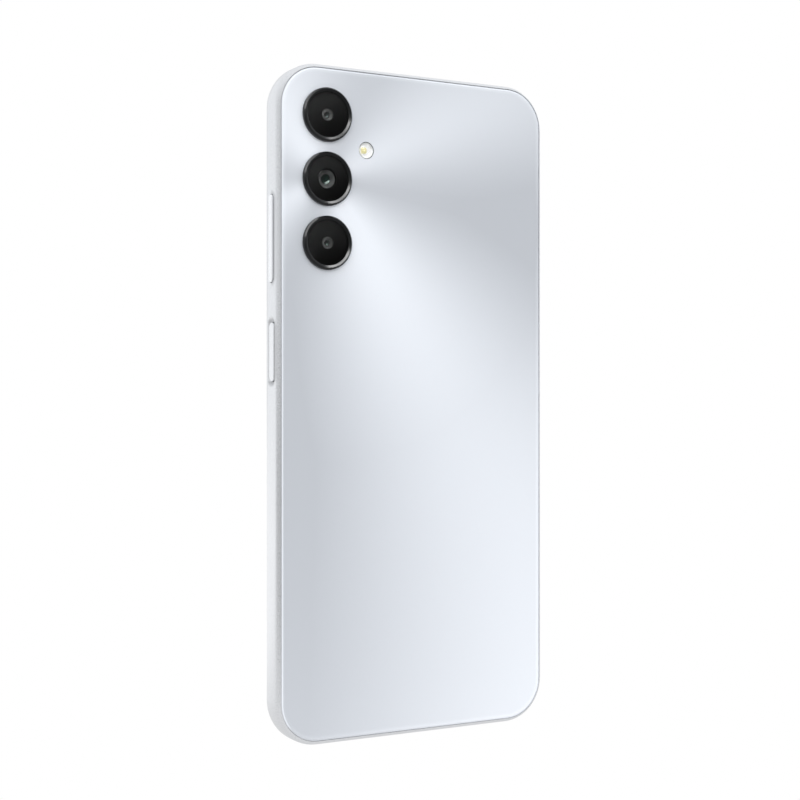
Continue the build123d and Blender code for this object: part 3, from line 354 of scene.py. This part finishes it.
def clear_glass(name, tint, outer_y, inner_y):
    """Clear glass with faint smudges in its gloss. Its coated inner side throws no reflection."""
    glass = Finish(name, Transmission_Weight=1.0, IOR=1.5)
    smudge = glass.noise(2.5, detail=3, rough=0.6)
    glass.set("Base Color", glass.blend(smudge, tint, (1, 1, 1, 1)))
    glass.set("Roughness", glass.spread(smudge, 0.45, 0.8, 0.01, 0.04))
    _, y, _ = glass.axes()
    near_outside = (0.8 * outer_y + 0.2 * inner_y) / MM
    outside = glass.spread(y, inner_y / MM, near_outside, smooth=False)
    glass.set("Specular Tint", glass.blend(outside, (0, 0, 0, 1), (1, 1, 1, 1)))
    return glass.material


def lens_glass():
    return clear_glass("lens_glass", (0.9, 0.93, 0.92, 1), glass_high.y, glass_low.y)


def front_glass():
    low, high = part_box("front_glass")
    return clear_glass("front_glass", (0.93, 0.94, 0.95, 1), low.y, high.y)


def camera_ink():
    """Black ink behind a camera's glass, with a painted reflection that makes it lighter towards its top
    on the keys' side.
    """
    ink = Finish("camera_ink", Roughness=0.5, Specular_IOR_Level=0.0)
    x, _, z = ink.axes()
    lowest = lens_z["lower"] / MM - lens_glass_radius / MM
    pitch = (lens_z["upper"] - lens_z["middle"]) / MM
    along = ink.math("FRACT", ink.math("DIVIDE", ink.math("SUBTRACT", z, lowest), pitch))
    rise = ink.math("SUBTRACT", ink.math("MULTIPLY", along, pitch), lens_glass_radius / MM)
    side = ink.math("SUBTRACT", x, lens_x / MM)
    slant = ink.math("ADD", ink.math("MULTIPLY", rise, 0.85), ink.math("MULTIPLY", side, 0.5))
    # painted reflection: the ink lightens towards the top on the keys' side
    painted_light = ink.spread(slant, -0.9 * lens_glass_radius / MM, 1.1 * lens_glass_radius / MM)
    dust = ink.noise(0.3, detail=2)
    tone = ink.math("ADD", painted_light, ink.math("MULTIPLY", ink.math("SUBTRACT", dust, 0.5), 0.08), clamp=True)
    ink.set("Base Color", ink.blend(tone, grey(3), grey(42)))
    return ink.material


def moulded_black(name, dark, light, roughness=0.45, grain_mm=0.15, depth_mm=0.006, gloss=0.5):
    """Black moulded plastic with a fine spark-eroded grain."""
    plastic = Finish(name, Specular_IOR_Level=gloss)
    grain = plastic.noise(grain_mm, detail=3, rough=0.65)
    plastic.set("Base Color", plastic.blend(plastic.spread(grain, 0.3, 0.7), grey(dark), grey(light)))
    plastic.set("Roughness", plastic.spread(grain, 0.2, 0.8, roughness - 0.07, roughness + 0.08))
    plastic.bump(grain, depth_mm, strength=0.4)
    return plastic.material


def camera_black():
    return moulded_black("camera_black", 20, 30)


def barrel_black():
    return moulded_black("barrel_black", 36, 44, roughness=0.6, grain_mm=0.06, gloss=0.12)


def barrel_cone(name, cone_end):
    """Matt black plastic, greyer on the cone in front of cone_end, with painted shade making it black in
    the depths behind it.
    """
    plastic = Finish(name, Roughness=0.6, Specular_IOR_Level=0.12)
    _, y, _ = plastic.axes()
    grain = plastic.noise(0.06, detail=3, rough=0.65)
    # painted shade: black in the depths behind the cone
    cone = plastic.spread(y, cone_end - 0.12, cone_end)
    plastic.set("Base Color", plastic.blend(cone, grey(8), plastic.blend(grain, grey(72), grey(86))))
    plastic.bump(grain, 0.004, strength=0.3)
    return plastic.material


def lens_coating(name, dark, tint, gloss):
    """A lens front: black depth behind a glossy coating that tints its highlights."""
    lens = Finish(name, Roughness=0.06, Specular_IOR_Level=gloss)
    lens.set("Coat Weight", gloss)
    lens.set("Coat Roughness", 0.04)
    cloud = lens.noise(1.2, detail=1)
    lens.set("Base Color", lens.blend(cloud, dark, tint))
    lens.set("Specular Tint", (0.75, 1.0, 0.9, 1))
    return lens.material


def display_black():
    """The switched-off display: black with the faint grid of its pixels."""
    panel = Finish("display_black", Roughness=0.3, Specular_IOR_Level=0.1)
    x, _, z = panel.axes()
    across = panel.math("PINGPONG", x, 0.12)
    along = panel.math("PINGPONG", z, 0.12)
    grid = panel.spread(panel.math("MINIMUM", across, along), 0.01, 0.04)
    cloud = panel.noise(30.0, detail=1)
    panel.set("Base Color", panel.blend(grid, grey(10), panel.blend(cloud, grey(17, 3), grey(22, 4))))
    return panel.material


def border_ink():
    ink = Finish("border_ink", Roughness=0.35, Specular_IOR_Level=0.05)
    dust = ink.noise(0.4, detail=3)
    ink.set("Base Color", ink.blend(dust, grey(3), grey(9)))
    return ink.material


def flash_clear():
    """Clear moulded lens over the flash."""
    lens = Finish("flash_clear", Transmission_Weight=1.0, IOR=1.4)
    haze = lens.noise(0.5, detail=2)
    lens.set("Base Color", lens.blend(haze, grey(250), grey(255)))
    lens.set("Roughness", lens.spread(haze, 0.3, 0.7, 0.02, 0.1))
    return lens.material


def led_yellow():
    """The flash's yellow phosphor die on its white ceramic base."""
    led = Finish("led_yellow", Roughness=0.55)
    x, _, z = led.axes()
    spot = middle("flash_led") / MM
    off_x = led.math("ABSOLUTE", led.math("SUBTRACT", x, spot.x + die_offset))
    off_z = led.math("ABSOLUTE", led.math("SUBTRACT", z, spot.z))
    die = led.spread(led.math("MAXIMUM", off_x, off_z), die_radius, die_radius - 0.25)
    grain = led.noise(0.1, detail=2)
    phosphor = led.blend(grain, colour(243, 232, 160), colour(249, 242, 188))
    led.set("Base Color", led.blend(die, led.blend(grain, grey(235), grey(247)), phosphor))
    return led.material


def flash_white():
    cup = Finish("flash_white", Roughness=0.4, Specular_IOR_Level=0.2)
    grain = cup.noise(0.2, detail=2)
    cup.set("Base Color", cup.blend(grain, grey(246), grey(252)))
    return cup.material


# ---------------------------------------------------------------- inner materials
def metal(name, dark, light, roughness, grain=(1.0, 1.0, 1.0), size_mm=0.3, depth_mm=0.004):
    """Bare metal with rolling marks or a cast skin."""
    sheet = Finish(name, Metallic=1.0)
    marks = sheet.noise(size_mm, detail=4, rough=0.6, where=sheet.stretched(*grain))
    stain = sheet.noise(6.0, detail=2)
    tone = sheet.math("ADD", sheet.math("MULTIPLY", marks, 0.6), sheet.math("MULTIPLY", stain, 0.4))
    sheet.set("Base Color", sheet.blend(sheet.spread(tone, 0.3, 0.7), dark, light))
    sheet.set("Roughness", sheet.spread(marks, 0.2, 0.8, roughness - 0.08, roughness + 0.1))
    sheet.bump(marks, depth_mm, strength=0.3)
    return sheet.material


def sheet_steel():
    return metal("sheet_steel", grey(176), grey(206), 0.3, grain=(1.0, 1.0, 0.08))


def screw_steel():
    return metal("screw_steel", grey(84), grey(120), 0.32)


def chassis_alloy():
    return metal("chassis_alloy", grey(150), grey(184), 0.5, size_mm=0.5, depth_mm=0.01)


def weight_alloy():
    return metal("weight_alloy", grey(110), grey(142), 0.48, size_mm=0.2)


def mesh_dark():
    """Fine woven wire cloth."""
    cloth = Finish("mesh_dark", Metallic=0.8, Roughness=0.45)
    x, _, z = cloth.axes()
    pitch = 0.16
    across = cloth.math("PINGPONG", x, pitch / 2)
    along = cloth.math("PINGPONG", z, pitch / 2)
    wires = cloth.math("MAXIMUM", across, along)
    wire = cloth.spread(wires, 0.03, 0.07)
    cloth.set("Base Color", cloth.blend(wire, grey(12), grey(84)))
    cloth.bump(wire, 0.05)
    return cloth.material


def flat_film(name, dark, light, roughness, size_mm=3.0):
    """Thin film or tape with slight creases."""
    film = Finish(name)
    crease = film.noise(size_mm, detail=4, rough=0.6)
    film.set("Base Color", film.blend(film.spread(crease, 0.3, 0.7), dark, light))
    film.set("Roughness", film.spread(crease, 0.3, 0.7, roughness - 0.08, roughness + 0.08))
    film.bump(crease, 0.02, strength=0.3)
    return film.material


def tape_black():
    return flat_film("tape_black", grey(14), grey(24), 0.6)


def backlight_white():
    return flat_film("backlight_white", grey(226), grey(240), 0.35, size_mm=8.0)


def flex_amber():
    """Polyimide flexible circuit with fine copper tracks under its cover film."""
    flex = Finish("flex_amber", Coat_Weight=0.3)
    x, _, z = flex.axes()
    track = flex.spread(flex.math("PINGPONG", flex.math("ADD", x, z), 0.2), 0.07, 0.12)
    film = flex.noise(1.5, detail=2)
    base = flex.blend(film, colour(150, 84, 28), colour(176, 104, 38))
    flex.set("Base Color", flex.blend(track, base, colour(202, 138, 64)))
    flex.set("Roughness", flex.spread(film, 0.3, 0.7, 0.3, 0.42))
    flex.bump(track, 0.01, strength=0.4)
    return flex.material


def board_green():
    """Solder mask over copper tracks, with tiny tinned pads."""
    board = Finish("board_green", Coat_Weight=0.4, Coat_Roughness=0.15)
    x, _, z = board.axes()
    weave = board.cells(1.1)
    track = board.spread(board.cells(2.6, feature="DISTANCE_TO_EDGE"), 0.03, 0.07)
    pads = board.math("MAXIMUM", board.math("PINGPONG", x, 0.5), board.math("PINGPONG", z, 0.65))
    patches = board.spread(board.noise(7.0), 0.56, 0.6)
    pad = board.math("MULTIPLY", board.spread(pads, 0.14, 0.1), patches)
    mask = board.blend(track, colour(22, 96, 62), colour(12, 66, 44))
    mask = board.blend(board.math("MULTIPLY", weave, 0.4), mask, colour(8, 50, 34))
    board.set("Base Color", board.blend(pad, mask, colour(206, 208, 204)))
    board.set("Metallic", board.math("MULTIPLY", pad, 0.9))
    board.set("Roughness", board.spread(weave, 0.2, 0.8, 0.3, 0.42))
    board.bump(track, 0.02, strength=0.4)
    return board.material


def chip_black():
    return moulded_black("chip_black", 30, 40, roughness=0.55, grain_mm=0.1)


def bracket_black():
    return moulded_black("bracket_black", 26, 38, roughness=0.5, grain_mm=0.25, depth_mm=0.012)


def battery_foil():
    """Black film over the battery's pouch, with the soft swell of the cell's layers."""
    pouch = Finish("battery_foil", Coat_Weight=0.2)
    swell = pouch.noise(14.0, detail=2)
    crease = pouch.noise(1.0, detail=4)
    pouch.set("Base Color", pouch.blend(swell, grey(24), grey(36)))
    pouch.set("Roughness", pouch.spread(crease, 0.3, 0.7, 0.32, 0.46))
    pouch.bump(pouch.math("ADD", swell, pouch.math("MULTIPLY", crease, 0.1)), 0.15, strength=0.4)
    return pouch.material


def diaphragm_film():
    return flat_film("diaphragm_film", grey(120), grey(140), 0.4, size_mm=1.0)


def tray_silver():
    paint, _, flake = painted_silver("tray_silver", 240, 230, 0.3)
    paint.bump(flake, 0.004, strength=0.1)
    return paint.material


def seal_red():
    return flat_film("seal_red", colour(150, 18, 14), colour(178, 30, 22), 0.55, size_mm=0.4)


def coax_grey():
    return flat_film("coax_grey", grey(150), grey(170), 0.5, size_mm=0.6)


def sensor_black():
    return moulded_black("sensor_black", 16, 24, roughness=0.25, grain_mm=0.1)


finishes = {
    maker.__name__: maker()
    for maker in (
        frame_silver, cover_silver, key_silver, ring_black, lens_glass, front_glass, display_black,
        backlight_white, chassis_alloy, tape_black, camera_black, barrel_black, led_yellow,
        sensor_black, flex_amber, sheet_steel, screw_steel, tray_silver, seal_red, board_green,
        chip_black, bracket_black, battery_foil, diaphragm_film, mesh_dark, weight_alloy, coax_grey,
        camera_ink, border_ink, flash_clear, flash_white,
    )
}
finishes["flash_lens"] = finishes["flash_clear"]
main_cone_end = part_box("main_camera_lens")[1].y / MM - main_cone_depth
small_cone_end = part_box("small_camera_lenses")[1].y / MM - small_cone_depth
finishes["main_cone"] = barrel_cone("main_cone", main_cone_end)
finishes["small_cone"] = barrel_cone("small_cone", small_cone_end)
for name, dark, tint, gloss in (
    ("main_lens", (0.0, 0.002, 0.001, 1), (0.001, 0.01, 0.007, 1), 0.28),
    ("small_lens", (0.002, 0.002, 0.003, 1), (0.01, 0.01, 0.014, 1), 0.3),
):
    finishes[name] = lens_coating(name, dark, tint, gloss)

for part in frame["record"]["subparts"]:
    mesh = nodes[part["node"]].data
    mesh.materials.clear()
    mesh.materials.append(finishes[part["material_slot"]])


# ---------------------------------------------------------------- pieces built around the frame
smooth_angle = math.radians(35)


def piece(name, build, finish, body):
    """A new mesh piece on a CAD body, with its finish."""
    mesh = bpy.data.meshes.new(name)
    shape = bmesh.new()
    build(shape)
    bmesh.ops.recalc_face_normals(shape, faces=shape.faces)
    shape.to_mesh(mesh)
    shape.free()
    mesh.materials.append(finishes[finish])
    mesh.shade_smooth()
    mesh.set_sharp_from_angle(angle=smooth_angle)
    made = bpy.data.objects.new(name, mesh)
    scene.collection.objects.link(made)
    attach(made, body)
    return made


def turned(shape, centre, profile, steps=96):
    """Turns a profile of (radius, y) points in millimetres about an axis that runs front to rear."""
    rings = []
    for radius, y in profile:
        if radius == 0:
            rings.append([shape.verts.new((centre.x, y * MM, centre.z))])
            continue
        ring = []
        for step in range(steps):
            angle = 2 * math.pi * step / steps
            x = centre.x + radius * MM * math.cos(angle)
            ring.append(shape.verts.new((x, y * MM, centre.z + radius * MM * math.sin(angle))))
        rings.append(ring)
    for inner, outer in zip(rings, rings[1:]):
        for step in range(steps):
            after = (step + 1) % steps
            if len(inner) == 1:
                shape.faces.new((inner[0], outer[step], outer[after]))
            elif len(outer) == 1:
                shape.faces.new((inner[after], inner[step], outer[0]))
            else:
                shape.faces.new((inner[step], outer[step], outer[after], inner[after]))


def arc_profile(radius, rim_y, crown, steps=10):
    """A dome's profile in millimetres, from its middle to its rim."""
    points = []
    for step in range(steps + 1):
        share = step / steps
        points.append((radius * share, rim_y + crown * (1 - share * share)))
    return points


def at(x, z):
    """A place across and up the phone, for an axis that runs front to rear."""
    return Vector((x, 0, z))


# camera windows: black ink behind each glass, with a clear middle
window_radius = {"upper": 1.6, "middle": 2.6, "lower": 1.6}
ink_y = glass_low.y / MM + 0.05
ink_thickness = 0.02


def build_camera_ink(shape):
    for place, z in lens_z.items():
        outer = lens_glass_radius / MM - 0.05
        inner = window_radius[place]
        back = ink_y + ink_thickness
        profile = [(inner, ink_y), (outer, ink_y), (outer, back), (inner, back), (inner, ink_y)]
        turned(shape, at(lens_x, z), profile)


piece("camera_window_ink", build_camera_ink, "camera_ink", "phone")


# the main camera's barrel, a cone round its front lens
main_cone_radius = 2.15
main_hole_radius = 1.3


def build_main_barrel(shape):
    low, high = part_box("main_camera_lens")
    base, top = low.y / MM, high.y / MM
    barrel = (high.x - low.x) / 2 / MM
    collar = main_cone_radius + 0.1
    shoulder = top - 0.9
    profile = [(0, base), (barrel - 0.1, base), (barrel, base + 0.1), (barrel, shoulder - 0.05)]
    profile += [(barrel - 0.1, shoulder), (collar, shoulder), (collar, top - 0.04)]
    profile += [(collar - 0.04, top), (main_cone_radius, top)]
    steps = 4
    for step in range(steps):
        share = (step + 1) / steps
        depth = main_cone_depth * share
        radius = main_cone_radius - (main_cone_radius - main_hole_radius) * share
        profile += [(radius + 0.02, top - depth + 0.03), (radius, top - depth)]
    floor_y = top - main_cone_depth - 0.7
    hole = main_hole_radius - 0.05
    profile += [(hole, top - main_cone_depth - 0.1), (hole, floor_y), (0, floor_y)]
    turned(shape, at(lens_x, lens_z["middle"]), profile)


def build_main_lens(shape):
    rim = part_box("main_camera_lens")[1].y / MM - main_cone_depth - 0.15
    radius = main_hole_radius - 0.07
    profile = arc_profile(radius, rim, -0.3) + [(radius, rim - 0.5), (0, rim - 0.5)]
    turned(shape, at(lens_x, lens_z["middle"]), profile)


main_barrel = piece("main_camera_barrel", build_main_barrel, "main_cone", "focus_barrel")
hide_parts("main_camera_lens")
piece("main_camera_front_lens", build_main_lens, "main_lens", "focus_barrel")


# the two small cameras
small_cone_radius = 1.35
small_hole_radius = 0.74


def build_small_barrels(shape):
    low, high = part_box("small_camera_lenses")
    base, top = low.y / MM, high.y / MM
    barrel = 1.9
    collar = small_cone_radius + 0.08
    shoulder = top - 0.4
    shelf = top - small_cone_depth - 0.55
    profile = [(0, base), (barrel, base), (barrel, shoulder - 0.05), (barrel - 0.05, shoulder)]
    profile += [(collar, shoulder), (collar, top - 0.03), (collar - 0.03, top), (small_cone_radius, top)]
    profile += [(small_hole_radius, top - small_cone_depth)]
    profile += [(small_hole_radius - 0.02, shelf), (0, shelf)]
    for place in ("upper", "lower"):
        turned(shape, at(lens_x, lens_z[place]), profile)


def build_small_lenses(shape):
    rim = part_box("small_camera_lenses")[1].y / MM - small_cone_depth - 0.12
    radius = small_hole_radius - 0.04
    profile = arc_profile(radius, rim, -0.26) + [(radius, rim - 0.34), (0, rim - 0.34)]
    for place in ("upper", "lower"):
        turned(shape, at(lens_x, lens_z[place]), profile, steps=64)


small_barrels = piece("small_camera_barrels", build_small_barrels, "small_cone", "phone")
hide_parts("small_camera_lenses")
piece("small_camera_front_lenses", build_small_lenses, "small_lens", "phone")


# the flash: a thin Fresnel lens over a shallow white cup and a yellow die on the keys' side of it
flash = middle("flash_lens")


def build_flash_lens(shape):
    low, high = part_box("flash_lens")
    base, top = low.y / MM, high.y / MM
    flange = (high.x - low.x) / 2 / MM
    flange_depth, groove_depth, wall = 0.7, 0.05, 0.1
    rim = flange - 0.5
    under = top - 0.14
    profile = [(0, under)]
    grooves = 7
    for groove in range(grooves):
        radius = (rim - 0.2) * (groove + 1) / grooves
        profile += [(radius, under - groove_depth), (radius, under)]
    profile += [(rim - wall, under), (rim - wall, base), (flange, base)]
    profile += [(flange, base + flange_depth), (rim, base + flange_depth)]
    profile += [(rim, top - 0.06), (rim - 0.06, top), (0, top)]
    turned(shape, flash, profile)


cup_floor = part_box("flash_lens")[1].y / MM - 0.7


def build_flash_cup(shape):
    floor_radius, cup_radius, wall = 1.3, 1.9, 0.04
    rim_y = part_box("flash_lens")[1].y / MM - 0.22
    profile = [(0, cup_floor), (floor_radius, cup_floor), (floor_radius + 0.2, cup_floor + 0.04)]
    profile += [(cup_radius, rim_y), (cup_radius + wall, rim_y)]
    profile += [(cup_radius + wall, cup_floor - 0.2), (0, cup_floor - 0.2)]
    turned(shape, flash, profile)


def build_phosphor(shape):
    profile = arc_profile(die_radius, cup_floor + 0.06, 0.16)
    profile += [(die_radius, cup_floor - 0.05), (0, cup_floor - 0.05)]
    turned(shape, flash + Vector((die_offset * MM, 0, 0)), profile, steps=64)


flash_piece = piece("flash_fresnel_lens", build_flash_lens, "flash_lens", "phone")
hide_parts("flash_lens")
piece("flash_reflector", build_flash_cup, "flash_white", "phone")
piece("flash_phosphor", build_phosphor, "led_yellow", "phone")


# the black border printed behind the front glass, with a drop-shaped notch for the front camera
screen_half_width = 34.9
screen_length = 155.2
screen_corner = 7.5
border_corner = 9.8
top_border = 4.8
notch_radius = 2.9
notch_blend = 2.0
camera_hole = 1.5


def outline(shape, points, y):
    """A closed loop of edges through (x, z) points in millimetres."""
    corners = [shape.verts.new((x * MM, y * MM, z * MM)) for x, z in points]
    return [shape.edges.new(pair) for pair in zip(corners, corners[1:] + corners[:1])]


def arc(centre_x, centre_z, radius, start, end, steps=16):
    """Points along an arc, with its angles in degrees."""
    points = []
    for step in range(steps + 1):
        angle = math.radians(start + (end - start) * step / steps)
        points.append((centre_x + radius * math.cos(angle), centre_z + radius * math.sin(angle)))
    return points


def rounded_corners(half_width, bottom, top, radius):
    """The four corner arcs of a rounded rectangle, from the lower right one round to the left."""
    x, low, high = half_width - radius, bottom + radius, top - radius
    lower_right = arc(x, low, radius, -90, 0)
    upper_right = arc(x, high, radius, 0, 90)
    upper_left = arc(-x, high, radius, 90, 180)
    return lower_right, upper_right, upper_left, arc(-x, low, radius, 180, 270)


def build_border(shape):
    low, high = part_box("front_glass")
    back_y = high.y / MM - 0.03
    edge = high.x / MM - 0.1
    outer = rounded_corners(edge, low.z / MM + 0.1, high.z / MM - 0.8, border_corner)
    screen_top = high.z / MM - top_border
    screen_bottom = screen_top - screen_length
    corners = rounded_corners(screen_half_width, screen_bottom, screen_top, screen_corner)
    lower_right, upper_right, upper_left, lower_left = corners
    notch_z = middle("front_camera_lens").z / MM
    blend_z = screen_top - notch_blend
    reach = math.sqrt((notch_radius + notch_blend) ** 2 - (blend_z - notch_z) ** 2)
    tilt = math.degrees(math.atan2(blend_z - notch_z, reach))
    right_blend = arc(reach, blend_z, notch_blend, 90, 180 + tilt)
    notch = arc(0, notch_z, notch_radius, tilt, -180 - tilt, steps=40)
    left_blend = arc(-reach, blend_z, notch_blend, -tilt, 90)
    screen = lower_right + upper_right + right_blend + notch[1:-1] + left_blend + upper_left + lower_left
    edges = outline(shape, [point for corner in outer for point in corner], back_y)
    edges += outline(shape, screen, back_y)
    edges += outline(shape, arc(0, notch_z, camera_hole, 0, 350, steps=35), back_y)
    bmesh.ops.triangle_fill(shape, use_beauty=True, use_dissolve=False, edges=edges)
    raised = bmesh.ops.extrude_face_region(shape, geom=shape.faces[:])
    for corner in raised["geom"]:
        if isinstance(corner, bmesh.types.BMVert):
            corner.co.y -= ink_thickness * MM


piece("front_border", build_border, "border_ink", "phone")


# ---------------------------------------------------------------- studio
# where the camera and the softboxes point and stand, in metres
target = Vector((0, rear_plane, phone_height / 2))
strip_target = Vector((lens_x, rear_plane, lens_z["middle"]))
strip_distance = 1.8
view_turn = math.radians(29.4)
back = Vector((math.sin(view_turn), math.cos(view_turn), 0))
aside = Vector((math.cos(view_turn), -math.sin(view_turn), 0))
# the reflected room's levels, at 1 the way that the cover mirrors the camera and at 0 the opposite way
room_levels = (
    (0.0, 0.92), (0.115, 0.9), (0.26, 0.79), (0.5, 0.68), (0.75, 0.53), (0.93, 0.22), (1.0, 0.05),
)
overhead_level = 0.85
overhead_reach = 1.35
flag_centre = 0.15
flag_width = 0.2
flag_depth = 0.3
far_side_gain = 0.9
fill_level = 1.59


def lit_group(name, *members):
    """A collection of pieces that one light is kept to."""
    group = bpy.data.collections.new(name)
    for member in members:
        group.objects.link(bpy.data.objects[member])
    return group


glossy_parts = lit_group(
    "glossy_parts", "lens_ring_upper", "lens_ring_middle", "lens_ring_lower", "lens_glasses",
    "front_camera_lens", "main_camera_front_lens", "small_camera_front_lenses",
    "main_camera_barrel", "small_camera_barrels",
)
flash_parts = lit_group("flash_parts", "flash_fresnel_lens", "flash_reflector", "flash_phosphor")


def softbox(name, parts, direction, along, length, width, power):
    """A softbox that faces the cameras and lights only the given parts."""
    data = bpy.data.lights.new(name, "AREA")
    data.shape = "RECTANGLE"
    data.size = length
    data.size_y = width
    data.energy = power
    light = bpy.data.objects.new(name, data)
    light.visible_diffuse = False
    light.light_linking.receiver_collection = parts
    scene.collection.objects.link(light)
    away = Vector(direction).normalized()
    side = Vector(along)
    side = (side - away * side.dot(away)).normalized()
    light.location = strip_target + away * strip_distance
    light.rotation_euler = Matrix((side, away.cross(side), away)).transposed().to_euler()
    return light


def white_surroundings():
    """A white backdrop, even light, and for reflections a room dim where the cover mirrors the camera."""
    world = bpy.data.worlds.new("studio")
    scene.world = world
    world.use_nodes = True
    tree = world.node_tree

    def calc(operation, first, second):
        node = tree.nodes.new("ShaderNodeMath")
        node.operation = operation
        for value, socket in zip((first, second), node.inputs):
            if isinstance(value, float):
                socket.default_value = value
            else:
                tree.links.new(value, socket)
        return node.outputs[0]

    def choose(factor, first, second):
        node = tree.nodes.new("ShaderNodeMixShader")
        for value, socket in zip((factor, first, second), node.inputs):
            tree.links.new(value, socket)
        return node.outputs[0]

    backdrop = tree.nodes["Background"]
    backdrop.inputs["Color"].default_value = (1, 1, 1, 1)
    fill = tree.nodes.new("ShaderNodeBackground")
    fill.inputs["Color"].default_value = (0.965, 0.985, 1.0, 1)
    fill.inputs["Strength"].default_value = fill_level
    towards = tree.nodes.new("ShaderNodeTexCoord").outputs["Generated"]
    share = tree.nodes.new("ShaderNodeVectorMath")
    share.operation = "DOT_PRODUCT"
    share.inputs[1].default_value = (-back.x, back.y, 0)
    tree.links.new(towards, share.inputs[0])
    levels = tree.nodes.new("ShaderNodeValToRGB")
    steps = levels.color_ramp.elements
    while len(steps) < len(room_levels):
        steps.new(0.5)
    for step, (place, level) in zip(steps, room_levels):
        step.position = place
        step.color = (level * 0.98, level * 0.99, level, 1)
    tree.links.new(calc("ADD", calc("MULTIPLY", share.outputs["Value"], 0.5), 0.5), levels.inputs["Fac"])
    room = tree.nodes.new("ShaderNodeBackground")
    tree.links.new(levels.outputs["Color"], room.inputs["Color"])
    split = tree.nodes.new("ShaderNodeSeparateXYZ")
    tree.links.new(towards, split.inputs[0])
    above = calc("POWER", calc("ABSOLUTE", split.outputs["Z"], 0.0), 2.0)
    above = calc("MINIMUM", calc("MULTIPLY", above, overhead_reach), 1.0)
    far_side = calc("MAXIMUM", calc("MULTIPLY", split.outputs["X"], -1.0), 0.0)
    far_side = calc("MULTIPLY", calc("POWER", far_side, 2.0), far_side_gain)
    # a dark flag on the screen's side draws a thin line down the frame's rounded front edge
    flag = calc("ABSOLUTE", calc("ADD", split.outputs["X"], flag_centre), 0.0)
    flag = calc("MAXIMUM", calc("SUBTRACT", 1.0, calc("DIVIDE", flag, flag_width)), 0.0)
    flag = calc("MULTIPLY", flag, calc("LESS_THAN", split.outputs["Y"], 0.0))
    flag = calc("MULTIPLY", flag, flag_depth)
    tree.links.new(calc("SUBTRACT", calc("ADD", far_side, 1.0), flag), room.inputs["Strength"])
    overhead = tree.nodes.new("ShaderNodeBackground")
    overhead.inputs["Color"].default_value = (0.98, 0.99, 1.0, 1)
    overhead.inputs["Strength"].default_value = overhead_level
    reflected = choose(above, room.outputs[0], overhead.outputs[0])
    path = tree.nodes.new("ShaderNodeLightPath")
    bounced = calc("MULTIPLY", path.outputs["Is Glossy Ray"], path.outputs["Is Reflection Ray"])
    undimmed = calc("LESS_THAN", path.outputs["Diffuse Depth"], 0.5)
    through_glass = calc("MULTIPLY", path.outputs["Is Transmission Ray"], undimmed)
    mirrored = calc("MAXIMUM", bounced, through_glass)
    light = choose(mirrored, fill.outputs[0], reflected)
    seen = choose(path.outputs["Is Camera Ray"], light, backdrop.outputs[0])
    tree.links.new(seen, tree.nodes["World Output"].inputs["Surface"])


def pale_floor():
    """A plain white floor that the phone stands on, pure white to the camera and otherwise glowing as
    painted light, brighter on the screen's side than on the cover's.
    """
    mesh = bpy.data.meshes.new("studio_floor")
    reach = 4.0
    ground = phone_low.z - 0.1 * MM
    corners = [(-reach, -reach), (reach, -reach), (reach, reach), (-reach, reach)]
    mesh.from_pydata([(x, y, ground) for x, y in corners], [], [(0, 1, 2, 3)])
    floor = bpy.data.objects.new("studio_floor", mesh)
    scene.collection.objects.link(floor)
    painted_light = Finish("floor_white")
    _, y, _ = painted_light.axes()
    tree = painted_light.tree
    # painted light: the floor glows brighter on the screen's side, and fully white where the camera sees
    # it
    level = painted_light.spread(y, -150.0, 250.0, 1.0, 0.3, smooth=False)
    seen = tree.nodes.new("ShaderNodeLightPath").outputs["Is Camera Ray"]
    glow = tree.nodes.new("ShaderNodeEmission")
    tree.links.new(painted_light.math("MAXIMUM", level, seen), glow.inputs["Strength"])
    tree.links.new(glow.outputs[0], tree.nodes["Material Output"].inputs["Surface"])
    mesh.materials.append(painted_light.material)


white_surroundings()
pale_floor()
softbox("key_strip", glossy_parts, (0.46, 0.38, 0.80), (-0.84, -0.28, 0.5), 2.4, 0.5, 24.0)
softbox("upper_strip", glossy_parts, (-0.08, 0.76, 0.58), (0.766, 0.347, -0.352), 1.9, 0.5, 44.0)
flash_box = softbox("flash_box", flash_parts, (0.2, 0.8, 0.55), (1, 0, 0), 1.2, 1.2, 30.0)
flash_box.visible_glossy = False


# ---------------------------------------------------------------- camera
view_distance = 0.3909
view_shift = 0.0042
view_rise = 0.00103

camera_data = bpy.data.cameras.new("camera")
camera_data.lens = 69.0
camera_data.sensor_width = 36.0
camera_data.clip_start = 0.01
camera = bpy.data.objects.new("camera", camera_data)
scene.collection.objects.link(camera)
camera.location = target + back * view_distance + aside * view_shift + Vector((0, 0, view_rise))
camera.rotation_euler = (math.pi / 2, 0, math.pi - view_turn)
scene.camera = camera
scene.view_settings.view_transform = "Standard"
